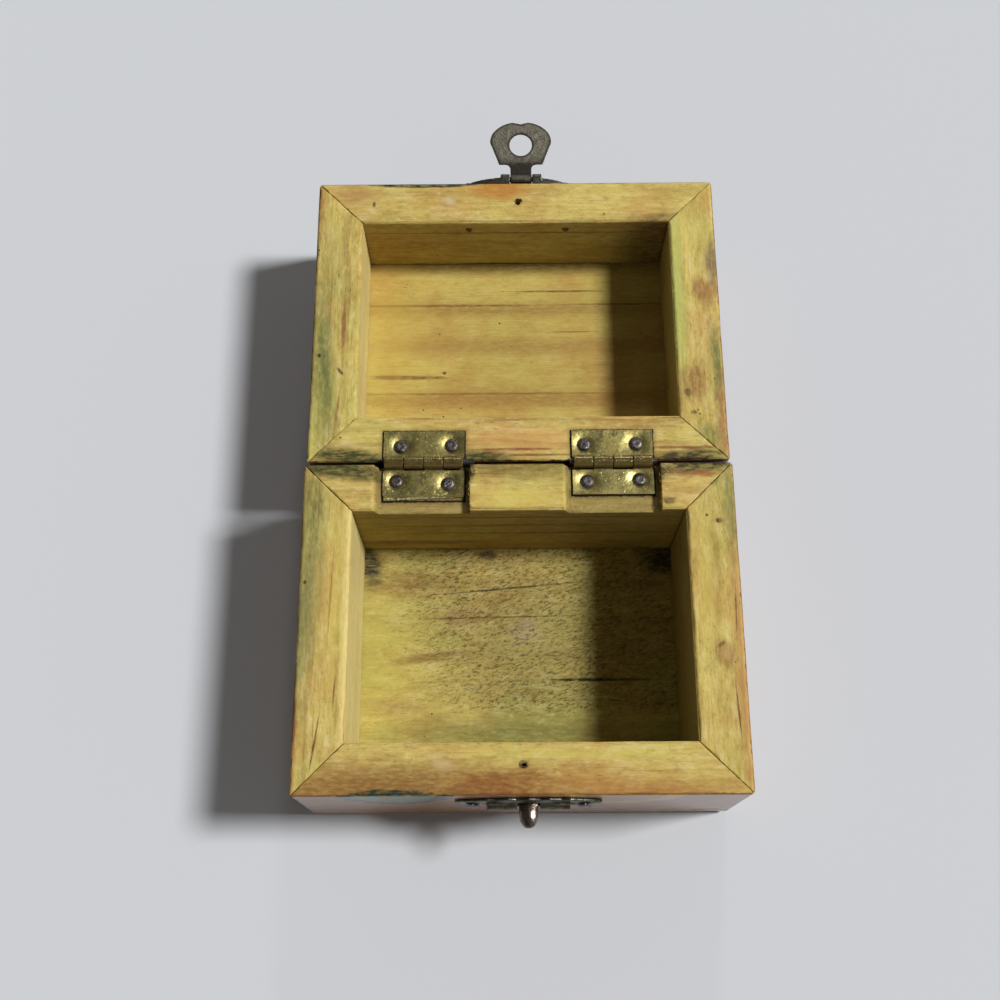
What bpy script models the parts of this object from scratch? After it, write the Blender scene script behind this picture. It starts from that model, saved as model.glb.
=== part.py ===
"""A small wooden trinket box, opened flat on its two brass hinges.

Each board, leaf, pin, nail and clasp piece is an object of its own.  The box is drawn closed, in a frame whose
origin is the middle of the base's underside, with +Z up and the hinges at +Y.  The lid's pieces hang from an
empty on the hinge axis and the flap from an empty on the hasp's pin, and both are then turned open.
"""
import math

import bmesh
import bpy
from mathutils import Vector
from mathutils.geometry import tessellate_polygon

MM = 0.001

# Boards
WIDTH = 90.0 * MM
DEPTH = 68.5 * MM
WALL = 10.3 * MM
FLOOR_THICKNESS = 6.4 * MM
TOP_THICKNESS = 5.0 * MM
BASE_FRAME_HEIGHT = 27.7 * MM
LID_FRAME_HEIGHT = 18.9 * MM
GLUE_LINE = 0.1 * MM
RIM_EASE = 0.25 * MM
EDGE_ROUND = 2.2 * MM
EDGE_ROUND_STEPS = 5
CLOSED_GAP = 0.2 * MM

# Blind hole in each front rim
RIM_HOLE_RADIUS = 0.8 * MM
RIM_HOLE_DEPTH = 4.0 * MM
BASE_HOLE_OFFSET = 0.35 * MM
BASE_HOLE_INSET = 6.0 * MM
LID_HOLE_OFFSET = 0.6 * MM
LID_HOLE_INSET = 4.9 * MM

# Nails
NAIL_SHANK_RADIUS = 0.6 * MM
NAIL_HEAD_RADIUS = 1.45 * MM
NAIL_HEAD_RISE = 0.5 * MM
NAIL_POINT = 1.6 * MM
NAIL_SEAT = 0.05 * MM
NAIL_HOLE_CLEARANCE = 0.12 * MM
NAIL_SIDES = 16
HINGE_NAIL_LENGTH = 8.0 * MM
NAIL_TIP_SHOWING = 0.4 * MM
WOOD_BEHIND_NAIL = 2.5 * MM

# Hinges
HINGE_SPREAD = 40.0 * MM
LEAF_WIDTH = 17.2 * MM
BASE_LEAF_REACH = 7.1 * MM
LID_LEAF_REACH = 7.5 * MM
LEAF_THICKNESS = 0.5 * MM
LEAF_SEAT = 0.05 * MM
PIN_RADIUS = 0.65 * MM
PIN_CLEARANCE = 0.08 * MM
PIN_STANDOFF = 0.05 * MM
PIN_STUB_LONG = 2.4 * MM
PIN_STUB_SHORT = 0.9 * MM
KNUCKLE_WALL = 0.57 * MM
KNUCKLE_COUNT = 4
KNUCKLE_GAP = 0.15 * MM
KNUCKLE_END_SETBACK = 0.3 * MM
KNUCKLE_STEPS = 24
LEAF_NAIL_MARGIN = 2.6 * MM
LEAF_NAIL_REACH = 4.2 * MM
UNDERLAY_THICKNESS = 0.25 * MM
UNDERLAY_SHOWING_LEFT = 1.1 * MM
UNDERLAY_SHOWING_RIGHT = 0.35 * MM

# Each leaf's two nails, as (share of the way out from the middle, share of the usual reach)
LEAF_NAILS = {
    "left_hinge_base_leaf": ((-0.96, 0.94), (0.86, 1.09)),
    "left_hinge_lid_leaf": ((-0.83, 0.93), (0.98, 0.98)),
    "right_hinge_base_leaf": ((-0.92, 1.0), (0.92, 0.92)),
    "right_hinge_lid_leaf": ((-1.0, 0.99), (0.84, 1.02)),
}

# Hinge notches in the base's back board
NOTCH_MARGIN_LEFT = 1.9 * MM
NOTCH_MARGIN_RIGHT = 1.2 * MM
NOTCH_SLOPE_RUN = 1.3 * MM

# Hasp on the lid
CLASP_OFFSET = 1.35 * MM
HASP_PIN_RADIUS = 0.6 * MM
HASP_KNUCKLE_WALL = 0.57 * MM
HASP_KNUCKLE_WIDTH = 2.1 * MM
HASP_STANDOFF = 0.4 * MM
HASP_AXIS_ABOVE_RIM = 1.2 * MM
HASP_PLATE_WIDTH = 25.0 * MM
HASP_PLATE_SHIFT = -1.0 * MM
HASP_PLATE_ABOVE_NAILS = 4.1 * MM
HASP_PLATE_BELOW_NAILS = 3.0 * MM
HASP_PLATE_RELIEF = 1.3 * MM
HASP_NAIL_ABOVE_RIM = 3.2 * MM
HASP_NAIL_SPACING = 22.2 * MM
HASP_SLOT_ABOVE_AXIS = 3.0 * MM
PLATE_THICKNESS = 0.5 * MM
PLATE_DOME = 1.6
PLATE_SEAT = 0.05 * MM
PLATE_COLUMNS = 36
PLATE_ROWS = 6
SCALLOP_DEPTH = 0.28 * MM
SCALLOP_COUNT = 7

# Flap
FLAP_THICKNESS = 0.6 * MM
FLAP_HOLE_REACH = 8.5 * MM
FLAP_LENGTH = 14.1 * MM
FLAP_HALF_WIDTH = 7.1 * MM
FLAP_WAIST_REACH = 9.4 * MM
FLAP_DIP = 0.6 * MM
FLAP_DIP_WIDTH = 1.3 * MM
FLAP_EAR_REACH = 3.9 * MM
FLAP_EAR_HALF_WIDTH = 5.05 * MM
FLAP_NECK_WIDTH = 4.9 * MM
FLAP_NECK_FILLET = 1.1 * MM
FLAP_SIDE_PLAY = 0.15 * MM

# Catch on the base
NOSE_HALF_WIDTH = 1.9 * MM
NOSE_HALF_THICKNESS = 1.0 * MM
NOSE_HUB_RADIUS = 0.75 * MM
NOSE_REACH = 4.55 * MM
NOSE_CLEARANCE = 0.7 * MM
NOSE_SIDES = 24
ROD_RADIUS = 0.4 * MM
ROD_SETBACK = 0.2 * MM
BARREL_WALL = 0.47 * MM
BARREL_STANDOFF = 0.2 * MM
BARREL_LENGTH = 16.4 * MM
CATCH_AXIS_RISE = 1.1 * MM
CATCH_SLOT_CLEARANCE = 0.35 * MM
CATCH_WINDOW_ABOVE = 1.2 * MM
CATCH_WINDOW_BELOW = 2.3 * MM
CATCH_PLATE_WIDTH = 29.6 * MM
CATCH_PLATE_RELIEF = 0.9 * MM
CATCH_PLATE_HALF_HEIGHT = 4.2 * MM
CATCH_PLATE_DROP = 0.5 * MM
CATCH_NAIL_SPACING = 22.2 * MM

# Pose shown
LID_OPEN_DEG = 180.0
FLAP_LIFT_DEG = 76.0

# Places that follow from the sizes above
RIM_Z = FLOOR_THICKNESS + GLUE_LINE + BASE_FRAME_HEIGHT
LID_RIM_Z = RIM_Z + CLOSED_GAP
LID_OUTER_Z = LID_RIM_Z + LID_FRAME_HEIGHT + GLUE_LINE + TOP_THICKNESS
BACK_Y = DEPTH / 2
FRONT_Y = -DEPTH / 2
PIN_BORE = PIN_RADIUS + PIN_CLEARANCE
KNUCKLE_RADIUS = PIN_BORE + KNUCKLE_WALL
SEAT_DROP = KNUCKLE_RADIUS + LEAF_SEAT
HINGE_AXIS = Vector((0.0, BACK_Y + PIN_RADIUS + PIN_STANDOFF, LID_RIM_Z - SEAT_DROP))
NOTCH_DEPTH = 2 * SEAT_DROP - CLOSED_GAP
HASP_BORE = HASP_PIN_RADIUS + PIN_CLEARANCE
HASP_RADIUS = HASP_BORE + HASP_KNUCKLE_WALL
HASP_AXIS = Vector((CLASP_OFFSET, FRONT_Y - HASP_STANDOFF - HASP_RADIUS, LID_RIM_Z + HASP_AXIS_ABOVE_RIM))
FLAP_HOLE_RADIUS = NOSE_HALF_WIDTH + NOSE_CLEARANCE
FLAP_TAIL = HASP_RADIUS + FLAP_THICKNESS
CATCH_Z = HASP_AXIS.z - FLAP_HOLE_REACH
CATCH_BORE = ROD_RADIUS + PIN_CLEARANCE
BARREL_RADIUS = CATCH_BORE + BARREL_WALL
CATCH_AXIS = Vector((CLASP_OFFSET, FRONT_Y - BARREL_STANDOFF - BARREL_RADIUS, CATCH_Z + CATCH_AXIS_RISE))

X = Vector((1, 0, 0))
Y = Vector((0, 1, 0))
Z = Vector((0, 0, 1))


def clear_scene():
    """Removes whatever the open file holds."""
    for obj in list(bpy.data.objects):
        bpy.data.objects.remove(obj, do_unlink=True)


def make_material(name, color, roughness, metallic=0.0):
    """A plain Principled material of one colour."""
    material = bpy.data.materials.new(name)
    material.use_nodes = True
    shader = material.node_tree.nodes["Principled BSDF"]
    shader.inputs["Base Color"].default_value = (*color, 1.0)
    shader.inputs["Roughness"].default_value = roughness
    shader.inputs["Metallic"].default_value = metallic
    material.diffuse_color = (*color, 1.0)
    return material


def finish_mesh(name, bm):
    """Turns a bmesh into a mesh whose faces point outwards."""
    bmesh.ops.recalc_face_normals(bm, faces=bm.faces[:])
    mesh = bpy.data.meshes.new(name)
    bm.to_mesh(mesh)
    bm.free()
    return mesh


def place(name, mesh, material, at=(0, 0, 0), turn=(0, 0, 0), pivot=None):
    """Adds an object at a place in the closed box's frame, carried by a pivot if one is given."""
    obj = bpy.data.objects.new(name, mesh)
    bpy.context.scene.collection.objects.link(obj)
    obj.location = Vector(at)
    obj.rotation_euler = turn
    if pivot is not None:
        obj.parent = pivot
        obj.location -= Vector(pivot["closed_place"])
    if material is not None:
        mesh.materials.clear()
        mesh.materials.append(material)
    return obj


def make_pivot(name, at, turn_x, carrier=None):
    """An empty on a joint's axis; turning it about X opens what it carries."""
    pivot = bpy.data.objects.new(name, None)
    bpy.context.scene.collection.objects.link(pivot)
    pivot["closed_place"] = tuple(at)
    pivot.location = at
    pivot.rotation_euler = (turn_x, 0, 0)
    pivot.empty_display_size = 5 * MM
    if carrier is not None:
        pivot.parent = carrier
        pivot.location -= Vector(carrier["closed_place"])
    return pivot


def smooth(mesh, angle_deg=35):
    """Shades a round piece smooth, with its real edges left sharp."""
    mesh.shade_smooth()
    mesh.set_sharp_from_angle(angle=math.radians(angle_deg))
    return mesh


def combine(target, operand, operation):
    """Adds a Boolean of a guide object, which stays out of the model itself."""
    operand.display_type = "WIRE"
    operand.hide_render = True
    modifier = target.modifiers.new(operation.title(), "BOOLEAN")
    modifier.operation = operation
    modifier.object = operand
    modifier.solver = "EXACT"
    return modifier


def circle(radius, steps, center=(0.0, 0.0)):
    """Points round a circle."""
    return [(center[0] + radius * math.cos(2 * math.pi * i / steps),
             center[1] + radius * math.sin(2 * math.pi * i / steps)) for i in range(steps)]


def add_prism(bm, outline, holes, axes, start, end):
    """Extrudes an outline with holes.

    axes is (origin, a, b, n): a point (u, v) of the outline stands at origin + u*a + v*b, and the prism runs
    along n from start to end.
    """
    origin, a, b, n = axes
    loops = [outline, *holes]
    flat = [point for loop in loops for point in loop]
    rings = []
    for distance in (start, end):
        rings.append([bm.verts.new(origin + u * a + v * b + distance * n) for u, v in flat])
    triangles = tessellate_polygon([[Vector((u / MM, v / MM, 0.0)) for u, v in loop] for loop in loops])
    for i, j, k in triangles:
        bm.faces.new((rings[0][i], rings[0][j], rings[0][k]))
        bm.faces.new((rings[1][k], rings[1][j], rings[1][i]))
    first = 0
    for loop in loops:
        count = len(loop)
        for i in range(count):
            here = first + i
            there = first + (i + 1) % count
            bm.faces.new((rings[0][here], rings[0][there], rings[1][there], rings[1][here]))
        first += count


def add_loft(bm, sections, sides, origin, axis, wide):
    """Skins oval sections of (half width, half depth, height), from one pole to the other, along an axis."""
    deep = axis.cross(wide)
    rings = []
    for half_width, half_depth, height in sections:
        center = origin + height * axis
        if half_width == 0:
            rings.append([bm.verts.new(center)])
            continue
        ring = []
        for c, s in circle(1.0, sides):
            ring.append(bm.verts.new(center + c * half_width * wide + s * half_depth * deep))
        rings.append(ring)
    for low, high in zip(rings, rings[1:]):
        for i in range(sides):
            j = (i + 1) % sides
            corners = [low[i % len(low)], low[j % len(low)], high[j % len(high)], high[i % len(high)]]
            unique = list(dict.fromkeys(corners))
            bm.faces.new(unique)


def add_lathe(bm, profile, sides, origin, axis, radial):
    """Turns a profile of (radius, height) points, from one pole to the other, about an axis."""
    sections = [(radius, radius, height) for radius, height in profile]
    add_loft(bm, sections, sides, origin, axis, radial)


def knuckle_section(radius, bore, thickness, tail):
    """A rolled sheet seen from its end, as an outline and its bore.

    The sheet's tail runs along +u and lies tangent to the roll on its -v side.
    """
    shoulder = math.sqrt(radius ** 2 - (radius - thickness) ** 2)
    start = math.atan2(thickness - radius, shoulder)
    outline = [(tail, -radius), (tail, thickness - radius)]
    sweep = math.radians(270) - start
    for i in range(KNUCKLE_STEPS):
        angle = start + sweep * i / KNUCKLE_STEPS
        outline.append((radius * math.cos(angle), radius * math.sin(angle)))
    outline.append((0.0, -radius))
    return outline, circle(bore, KNUCKLE_STEPS)


def board_mesh(name, length, height):
    """A mitred board: x along it, y inwards from its outer face, z from its panel to its rim.

    The rim's long edges are eased, and so is the outer corner where two boards meet.
    """
    half = length / 2 - GLUE_LINE / 2
    section = [
        (0.0, 0.0),
        (0.0, height - RIM_EASE),
        (RIM_EASE, height),
        (WALL - RIM_EASE, height),
        (WALL, height - RIM_EASE),
        (WALL, 0.0),
        (RIM_EASE, 0.0),
    ]
    bm = bmesh.new()
    ends = []
    for side in (-1, 1):
        end = []
        for inward, up in section:
            reach = half - max(inward, 2 * RIM_EASE - inward)
            end.append(bm.verts.new((side * reach, inward, up)))
        ends.append(end)
    count = len(section)
    for i in range(count):
        j = (i + 1) % count
        bm.faces.new((ends[0][i], ends[0][j], ends[1][j], ends[1][i]))
    for end in ends:
        bm.faces.new((end[0], end[1], end[2], end[6]))
        bm.faces.new(end[2:7])
    return finish_mesh(name, bm)


def panel_mesh(name, thickness):
    """A floor or top board: z runs from its rounded outer face to the face glued to the frame."""
    levels = [(0.0, thickness)]
    for step in range(EDGE_ROUND_STEPS + 1):
        angle = math.radians(90) * step / EDGE_ROUND_STEPS
        levels.append((EDGE_ROUND * (1 - math.cos(angle)), EDGE_ROUND * (1 - math.sin(angle))))
    bm = bmesh.new()
    rings = []
    for inset, height in levels:
        across = WIDTH / 2 - inset
        along = DEPTH / 2 - inset
        ring = []
        for sx, sy, first in ((1, 1, 0), (-1, 1, 1), (-1, -1, 0), (1, -1, 1)):
            ends = [
                (sx * across, sy * (along - 2 * RIM_EASE)),
                (sx * (across - 2 * RIM_EASE), sy * along),
            ]
            for x, y in (ends[first], ends[1 - first]):
                ring.append(bm.verts.new((x, y, height)))
        rings.append(ring)
    count = len(rings[0])
    for low, high in zip(rings, rings[1:]):
        for i in range(count):
            j = (i + 1) % count
            bm.faces.new((low[i], low[j], high[j], high[i]))
    bm.faces.new(rings[0])
    bm.faces.new(rings[-1])
    return finish_mesh(name, bm)


def nail_mesh(name, length):
    """A wire nail with a low domed head; the head's underside is at z = 0 and the point is below."""
    dome = [(NAIL_HEAD_RADIUS * math.cos(t), NAIL_HEAD_RISE * (0.3 + 0.7 * math.sin(t)))
            for t in (math.radians(a) for a in (0, 25, 48, 70))]
    profile = [
        (0.0, -length),
        (NAIL_SHANK_RADIUS, NAIL_POINT - length),
        (NAIL_SHANK_RADIUS, 0.0),
        (NAIL_HEAD_RADIUS, 0.0),
        *dome,
        (0.0, NAIL_HEAD_RISE),
    ]
    bm = bmesh.new()
    add_lathe(bm, profile, NAIL_SIDES, Vector((0, 0, 0)), Z, X)
    return smooth(finish_mesh(name, bm))


def drill(target, name, places, radius, depth, direction, pivot=None):
    """Drills blind holes: each starts just outside its place and goes in along a direction."""
    bm = bmesh.new()
    side = X if abs(direction.x) < 0.5 else Y
    run_in = 2 * MM
    for spot in places:
        profile = [(0.0, -run_in), (radius, -run_in), (radius, depth), (0.0, depth)]
        add_lathe(bm, profile, NAIL_SIDES, Vector(spot), direction, side)
    cutter = place(name, finish_mesh(name, bm), None, pivot=pivot, at=(0, 0, 0))
    combine(target, cutter, "DIFFERENCE")


def knuckle_span(index):
    """The stretch of the hinge's width that one knuckle takes."""
    total = LEAF_WIDTH - 2 * KNUCKLE_END_SETBACK
    pitch = (total + KNUCKLE_GAP) / KNUCKLE_COUNT
    start = -total / 2 + index * pitch
    return start, start + pitch - KNUCKLE_GAP


def leaf_nail_places(name):
    """A leaf's two nail holes as (across, reach) from the middle of the hinge's axis, in the base's frame."""
    out = LEAF_WIDTH / 2 - LEAF_NAIL_MARGIN
    return [(share * out, stretch * LEAF_NAIL_REACH) for share, stretch in LEAF_NAILS[name]]


def add_leaf(name, own_knuckles, material, at, turn=(0, 0, 0), pivot=None, underlay=False):
    """A hinge leaf: the axis is X, the leaf runs towards -Y and lies tangent to the roll's lower side."""
    half = LEAF_WIDTH / 2
    near = KNUCKLE_RADIUS + KNUCKLE_GAP
    reach = LID_LEAF_REACH if pivot else BASE_LEAF_REACH
    flip = -1 if pivot else 1
    outline = [(-half, near), (half, near), (half, reach), (-half, reach)]
    hole_radius = NAIL_SHANK_RADIUS + NAIL_HOLE_CLEARANCE
    spots = [(flip * across, out) for across, out in leaf_nail_places(name)]
    holes = [circle(hole_radius, NAIL_SIDES, spot) for spot in spots]
    origin = Vector((0, 0, 0))
    bm = bmesh.new()
    add_prism(bm, outline, holes, (origin, X, -Y, Z), -KNUCKLE_RADIUS, LEAF_THICKNESS - KNUCKLE_RADIUS)
    leaf = place(name, finish_mesh(name, bm), material, at, turn, pivot)

    section, bore = knuckle_section(KNUCKLE_RADIUS, PIN_BORE, LEAF_THICKNESS, near + LEAF_THICKNESS)
    bm = bmesh.new()
    for index in own_knuckles:
        start, end = knuckle_span(index)
        add_prism(bm, section, [bore], (origin, -Y, Z, X), start, end)
    rolls = place(name + "_rolls", smooth(finish_mesh(name + "_rolls", bm)), None, at, turn, pivot)
    combine(leaf, rolls, "UNION")
    if underlay:
        tuck = reach - LEAF_THICKNESS
        outline = [
            (-half + KNUCKLE_GAP, tuck),
            (half - KNUCKLE_GAP, tuck),
            (half - KNUCKLE_GAP, reach + UNDERLAY_SHOWING_RIGHT),
            (-half + KNUCKLE_GAP, reach + UNDERLAY_SHOWING_LEFT),
        ]
        bm = bmesh.new()
        add_prism(bm, outline, [], (origin, X, -Y, Z), -KNUCKLE_RADIUS, UNDERLAY_THICKNESS - KNUCKLE_RADIUS)
        lower = place(name + "_underlay", finish_mesh(name + "_underlay", bm), None, at, turn, pivot)
        combine(leaf, lower, "UNION")
    return leaf


def pin_mesh(name, radius, start, end):
    """A pin along X with slightly rounded ends."""
    ease = radius / 4
    profile = [
        (0.0, start),
        (radius - ease, start),
        (radius, start + ease),
        (radius, end - ease),
        (radius - ease, end),
        (0.0, end),
    ]
    bm = bmesh.new()
    add_lathe(bm, profile, KNUCKLE_STEPS, Vector((0, 0, 0)), X, Y)
    return smooth(finish_mesh(name, bm))


def plate_edge(share, height, sharpness):
    """How far a clasp plate reaches from its middle line, at a share of its half width."""
    return height * math.sqrt(max(0.0, 1.0 - abs(share) ** sharpness))


def dome_share(share):
    """How much of a clasp plate's relief stands at a share of its half width."""
    return 1 - abs(share) ** PLATE_DOME


def nail_seat(width, spacing, relief):
    """How far off the wood a clasp nail's head sits, clear of the plate's relief."""
    share = (spacing / 2 - NAIL_HEAD_RADIUS) / (width / 2)
    return PLATE_SEAT + PLATE_THICKNESS + relief * dome_share(share) + NAIL_SEAT


def add_embossed_plate(bm, width, above, below, relief, hooded):
    """A stamped plate on a front face: x across, z up, domed towards -Y, with a scalloped edge.

    A hooded plate stands open along a plain lower edge; the other kind is closed and scalloped all round.
    """
    half = width / 2
    front = []
    back = []
    for column in range(PLATE_COLUMNS + 1):
        share = 0.985 * (2 * column / PLATE_COLUMNS - 1)
        wave = SCALLOP_DEPTH * math.cos(SCALLOP_COUNT * math.pi * share) * (1 - share ** 2)
        top = plate_edge(share, above, 2.2) + wave
        bottom = -plate_edge(share, below, 4.0) - (0.0 if hooded else wave)
        front_column = []
        back_column = []
        for row in range(PLATE_ROWS + 1):
            up = row / PLATE_ROWS
            arch = math.cos(math.pi * up / 2) if hooded else math.sin(math.pi * up)
            swell = max(0.0, arch) ** 0.7 * dome_share(share)
            height = bottom + (top - bottom) * up
            raised = PLATE_SEAT + PLATE_THICKNESS + relief * swell
            front_column.append(bm.verts.new((share * half, -raised, height)))
            back_column.append(bm.verts.new((share * half, -PLATE_SEAT, height)))
        front.append(front_column)
        back.append(back_column)
    for grid in (front, back):
        for c in range(PLATE_COLUMNS):
            for r in range(PLATE_ROWS):
                bm.faces.new((grid[c][r], grid[c + 1][r], grid[c + 1][r + 1], grid[c][r + 1]))
    for c in range(PLATE_COLUMNS):
        for r in (0, PLATE_ROWS):
            bm.faces.new((front[c][r], front[c + 1][r], back[c + 1][r], back[c][r]))
    for r in range(PLATE_ROWS):
        for c in (0, PLATE_COLUMNS):
            bm.faces.new((front[c][r], front[c][r + 1], back[c][r + 1], back[c][r]))


def flap_outline():
    """The flap's outline, as (across, down from the pin): a broad head, two ears and a narrow neck."""
    crown = FLAP_LENGTH - FLAP_WAIST_REACH
    right = []
    for i in range(13):
        angle = math.radians(90 - 7.5 * i)
        across = FLAP_HALF_WIDTH * math.cos(angle)
        dip = FLAP_DIP * math.exp(-(across / FLAP_DIP_WIDTH) ** 2)
        right.append((across, FLAP_WAIST_REACH + crown * math.sin(angle) - dip))
    flank = FLAP_WAIST_REACH - FLAP_HOLE_RADIUS / 2
    right.append((FLAP_HALF_WIDTH - FLAP_DIP_WIDTH / 12, (FLAP_WAIST_REACH + flank) / 2))
    right.append((FLAP_HALF_WIDTH - FLAP_DIP_WIDTH / 3, flank))
    right.append((FLAP_EAR_HALF_WIDTH, FLAP_EAR_REACH))
    neck = FLAP_NECK_WIDTH / 2
    for i in range(5):
        angle = math.radians(90 + 22.5 * i)
        right.append((neck + FLAP_NECK_FILLET * (1 + math.cos(angle)),
                      FLAP_EAR_REACH - FLAP_NECK_FILLET * (1 - math.sin(angle))))
    right.append((neck, FLAP_TAIL))
    left = [(-across, reach) for across, reach in reversed(right[1:])]
    return right + left


def flap_mesh(name):
    """The flap: its sheet hangs towards -Z and rolls up round the pin, which is the X axis."""
    here = Vector((0, 0, 0))
    hole = circle(FLAP_HOLE_RADIUS, 32, (0.0, FLAP_HOLE_REACH))
    bm = bmesh.new()
    add_prism(bm, flap_outline(), [hole], (here, X, -Z, Y), -HASP_RADIUS, FLAP_THICKNESS - HASP_RADIUS)
    half = FLAP_NECK_WIDTH / 2
    section, bore = knuckle_section(HASP_RADIUS, HASP_BORE, FLAP_THICKNESS, FLAP_TAIL)
    add_prism(bm, section, [bore], (here, -Z, Y, X), -half, half)
    near = 0.001 * MM
    seam = [face for face in bm.faces if all(abs(vert.co.z + FLAP_TAIL) < near for vert in face.verts)]
    bmesh.ops.delete(bm, geom=seam, context="FACES_ONLY")
    bmesh.ops.remove_doubles(bm, verts=bm.verts[:], dist=near)
    return smooth(finish_mesh(name, bm))


def base_boards(pine):
    """The base: a floor and four mitred boards, with two hinge notches in the back one."""
    place("base_floor", panel_mesh("base_floor", FLOOR_THICKNESS), pine)
    seat = FLOOR_THICKNESS + GLUE_LINE
    sides = {
        "base_front_board": (WIDTH, (0, FRONT_Y, seat), 0),
        "base_right_board": (DEPTH, (WIDTH / 2, 0, seat), 90),
        "base_back_board": (WIDTH, (0, BACK_Y, seat), 180),
        "base_left_board": (DEPTH, (-WIDTH / 2, 0, seat), 270),
    }
    boards = {}
    for name, (length, at, yaw) in sides.items():
        mesh = board_mesh(name, length, BASE_FRAME_HEIGHT)
        boards[name] = place(name, mesh, pine, at, (0, 0, math.radians(yaw)))

    bm = bmesh.new()
    past = 1 * MM
    for center in hinge_centers().values():
        left = center - LEAF_WIDTH / 2 - NOTCH_MARGIN_LEFT
        right = center + LEAF_WIDTH / 2 + NOTCH_MARGIN_RIGHT
        outline = [
            (left - NOTCH_SLOPE_RUN * past / NOTCH_DEPTH, past),
            (left + NOTCH_SLOPE_RUN, -NOTCH_DEPTH),
            (right, -NOTCH_DEPTH),
            (right, past),
        ]
        origin = Vector((0, 0, RIM_Z))
        add_prism(bm, outline, [], (origin, X, Z, Y), BACK_Y - WALL - past, BACK_Y + past)
    notches = place("hinge_notch_cutter", finish_mesh("hinge_notch_cutter", bm), None)
    combine(boards["base_back_board"], notches, "DIFFERENCE")
    middle = (BASE_HOLE_OFFSET, FRONT_Y + BASE_HOLE_INSET, RIM_Z)
    drill(boards["base_front_board"], "base_rim_drill", [middle], RIM_HOLE_RADIUS, RIM_HOLE_DEPTH, -Z)
    return boards


def lid_boards(pine, lid):
    """The lid: a top and four mitred boards, rims down while the box is closed."""
    over = math.pi
    place("lid_top", panel_mesh("lid_top", TOP_THICKNESS), pine, (0, 0, LID_OUTER_Z), (0, over, 0), lid)
    seat = LID_RIM_Z + LID_FRAME_HEIGHT
    sides = {
        "lid_front_board": (WIDTH, (0, FRONT_Y, seat), 0),
        "lid_right_board": (DEPTH, (WIDTH / 2, 0, seat), 90),
        "lid_back_board": (WIDTH, (0, BACK_Y, seat), 180),
        "lid_left_board": (DEPTH, (-WIDTH / 2, 0, seat), 270),
    }
    boards = {}
    for name, (length, at, yaw) in sides.items():
        mesh = board_mesh(name, length, LID_FRAME_HEIGHT)
        boards[name] = place(name, mesh, pine, at, (0, over, math.radians(yaw)), lid)
    middle = (LID_HOLE_OFFSET, FRONT_Y + LID_HOLE_INSET, LID_RIM_Z)
    drill(boards["lid_front_board"], "lid_rim_drill", [middle], RIM_HOLE_RADIUS, RIM_HOLE_DEPTH, Z, lid)
    return boards


def hinge_centers():
    """Where the two hinges stand across the box."""
    return {"left": -HINGE_SPREAD / 2, "right": HINGE_SPREAD / 2}


def hinges(brass, steel, base, lid_frame, lid):
    """Two butt hinges, each of two like leaves on a pin, held by eight nails in all."""
    nail = nail_mesh("hinge_nail", HINGE_NAIL_LENGTH)
    stubs = {"left": (0.0, PIN_STUB_LONG), "right": (PIN_STUB_SHORT, PIN_STUB_SHORT)}
    base_knuckles = {"left": (0, 2), "right": (1, 3)}
    head_drop = KNUCKLE_RADIUS - LEAF_THICKNESS - NAIL_SEAT
    base_holes = []
    lid_holes = []
    for side, center in hinge_centers().items():
        at = Vector((center, HINGE_AXIS.y, HINGE_AXIS.z))
        name = side + "_hinge_"
        own = base_knuckles[side]
        add_leaf(name + "base_leaf", own, brass, at, underlay=(side == "left"))
        add_leaf(name + "lid_leaf", own, brass, at, (0, math.pi, 0), lid)
        start = knuckle_span(0)[0] - stubs[side][0]
        end = knuckle_span(KNUCKLE_COUNT - 1)[1] + stubs[side][1]
        place(name + "pin", pin_mesh(name + "pin", PIN_RADIUS, start, end), steel, at)
        for number, (across, reach) in enumerate(leaf_nail_places(name + "base_leaf"), start=1):
            spot = at + across * X - reach * Y - head_drop * Z
            place(f"{name}base_nail_{number}", nail, steel, spot)
            base_holes.append(spot)
        for number, (across, reach) in enumerate(leaf_nail_places(name + "lid_leaf"), start=1):
            spot = at + across * X - reach * Y + head_drop * Z
            place(f"{name}lid_nail_{number}", nail, steel, spot, (0, math.pi, 0), lid)
            lid_holes.append(spot)
    hole = NAIL_SHANK_RADIUS + NAIL_HOLE_CLEARANCE
    depth = HINGE_NAIL_LENGTH + NAIL_HOLE_CLEARANCE
    drill(base["base_back_board"], "base_hinge_drill", base_holes, hole, depth, -Z)
    drill(lid_frame["lid_back_board"], "lid_hinge_drill", lid_holes, hole, depth, Z, lid)


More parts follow.
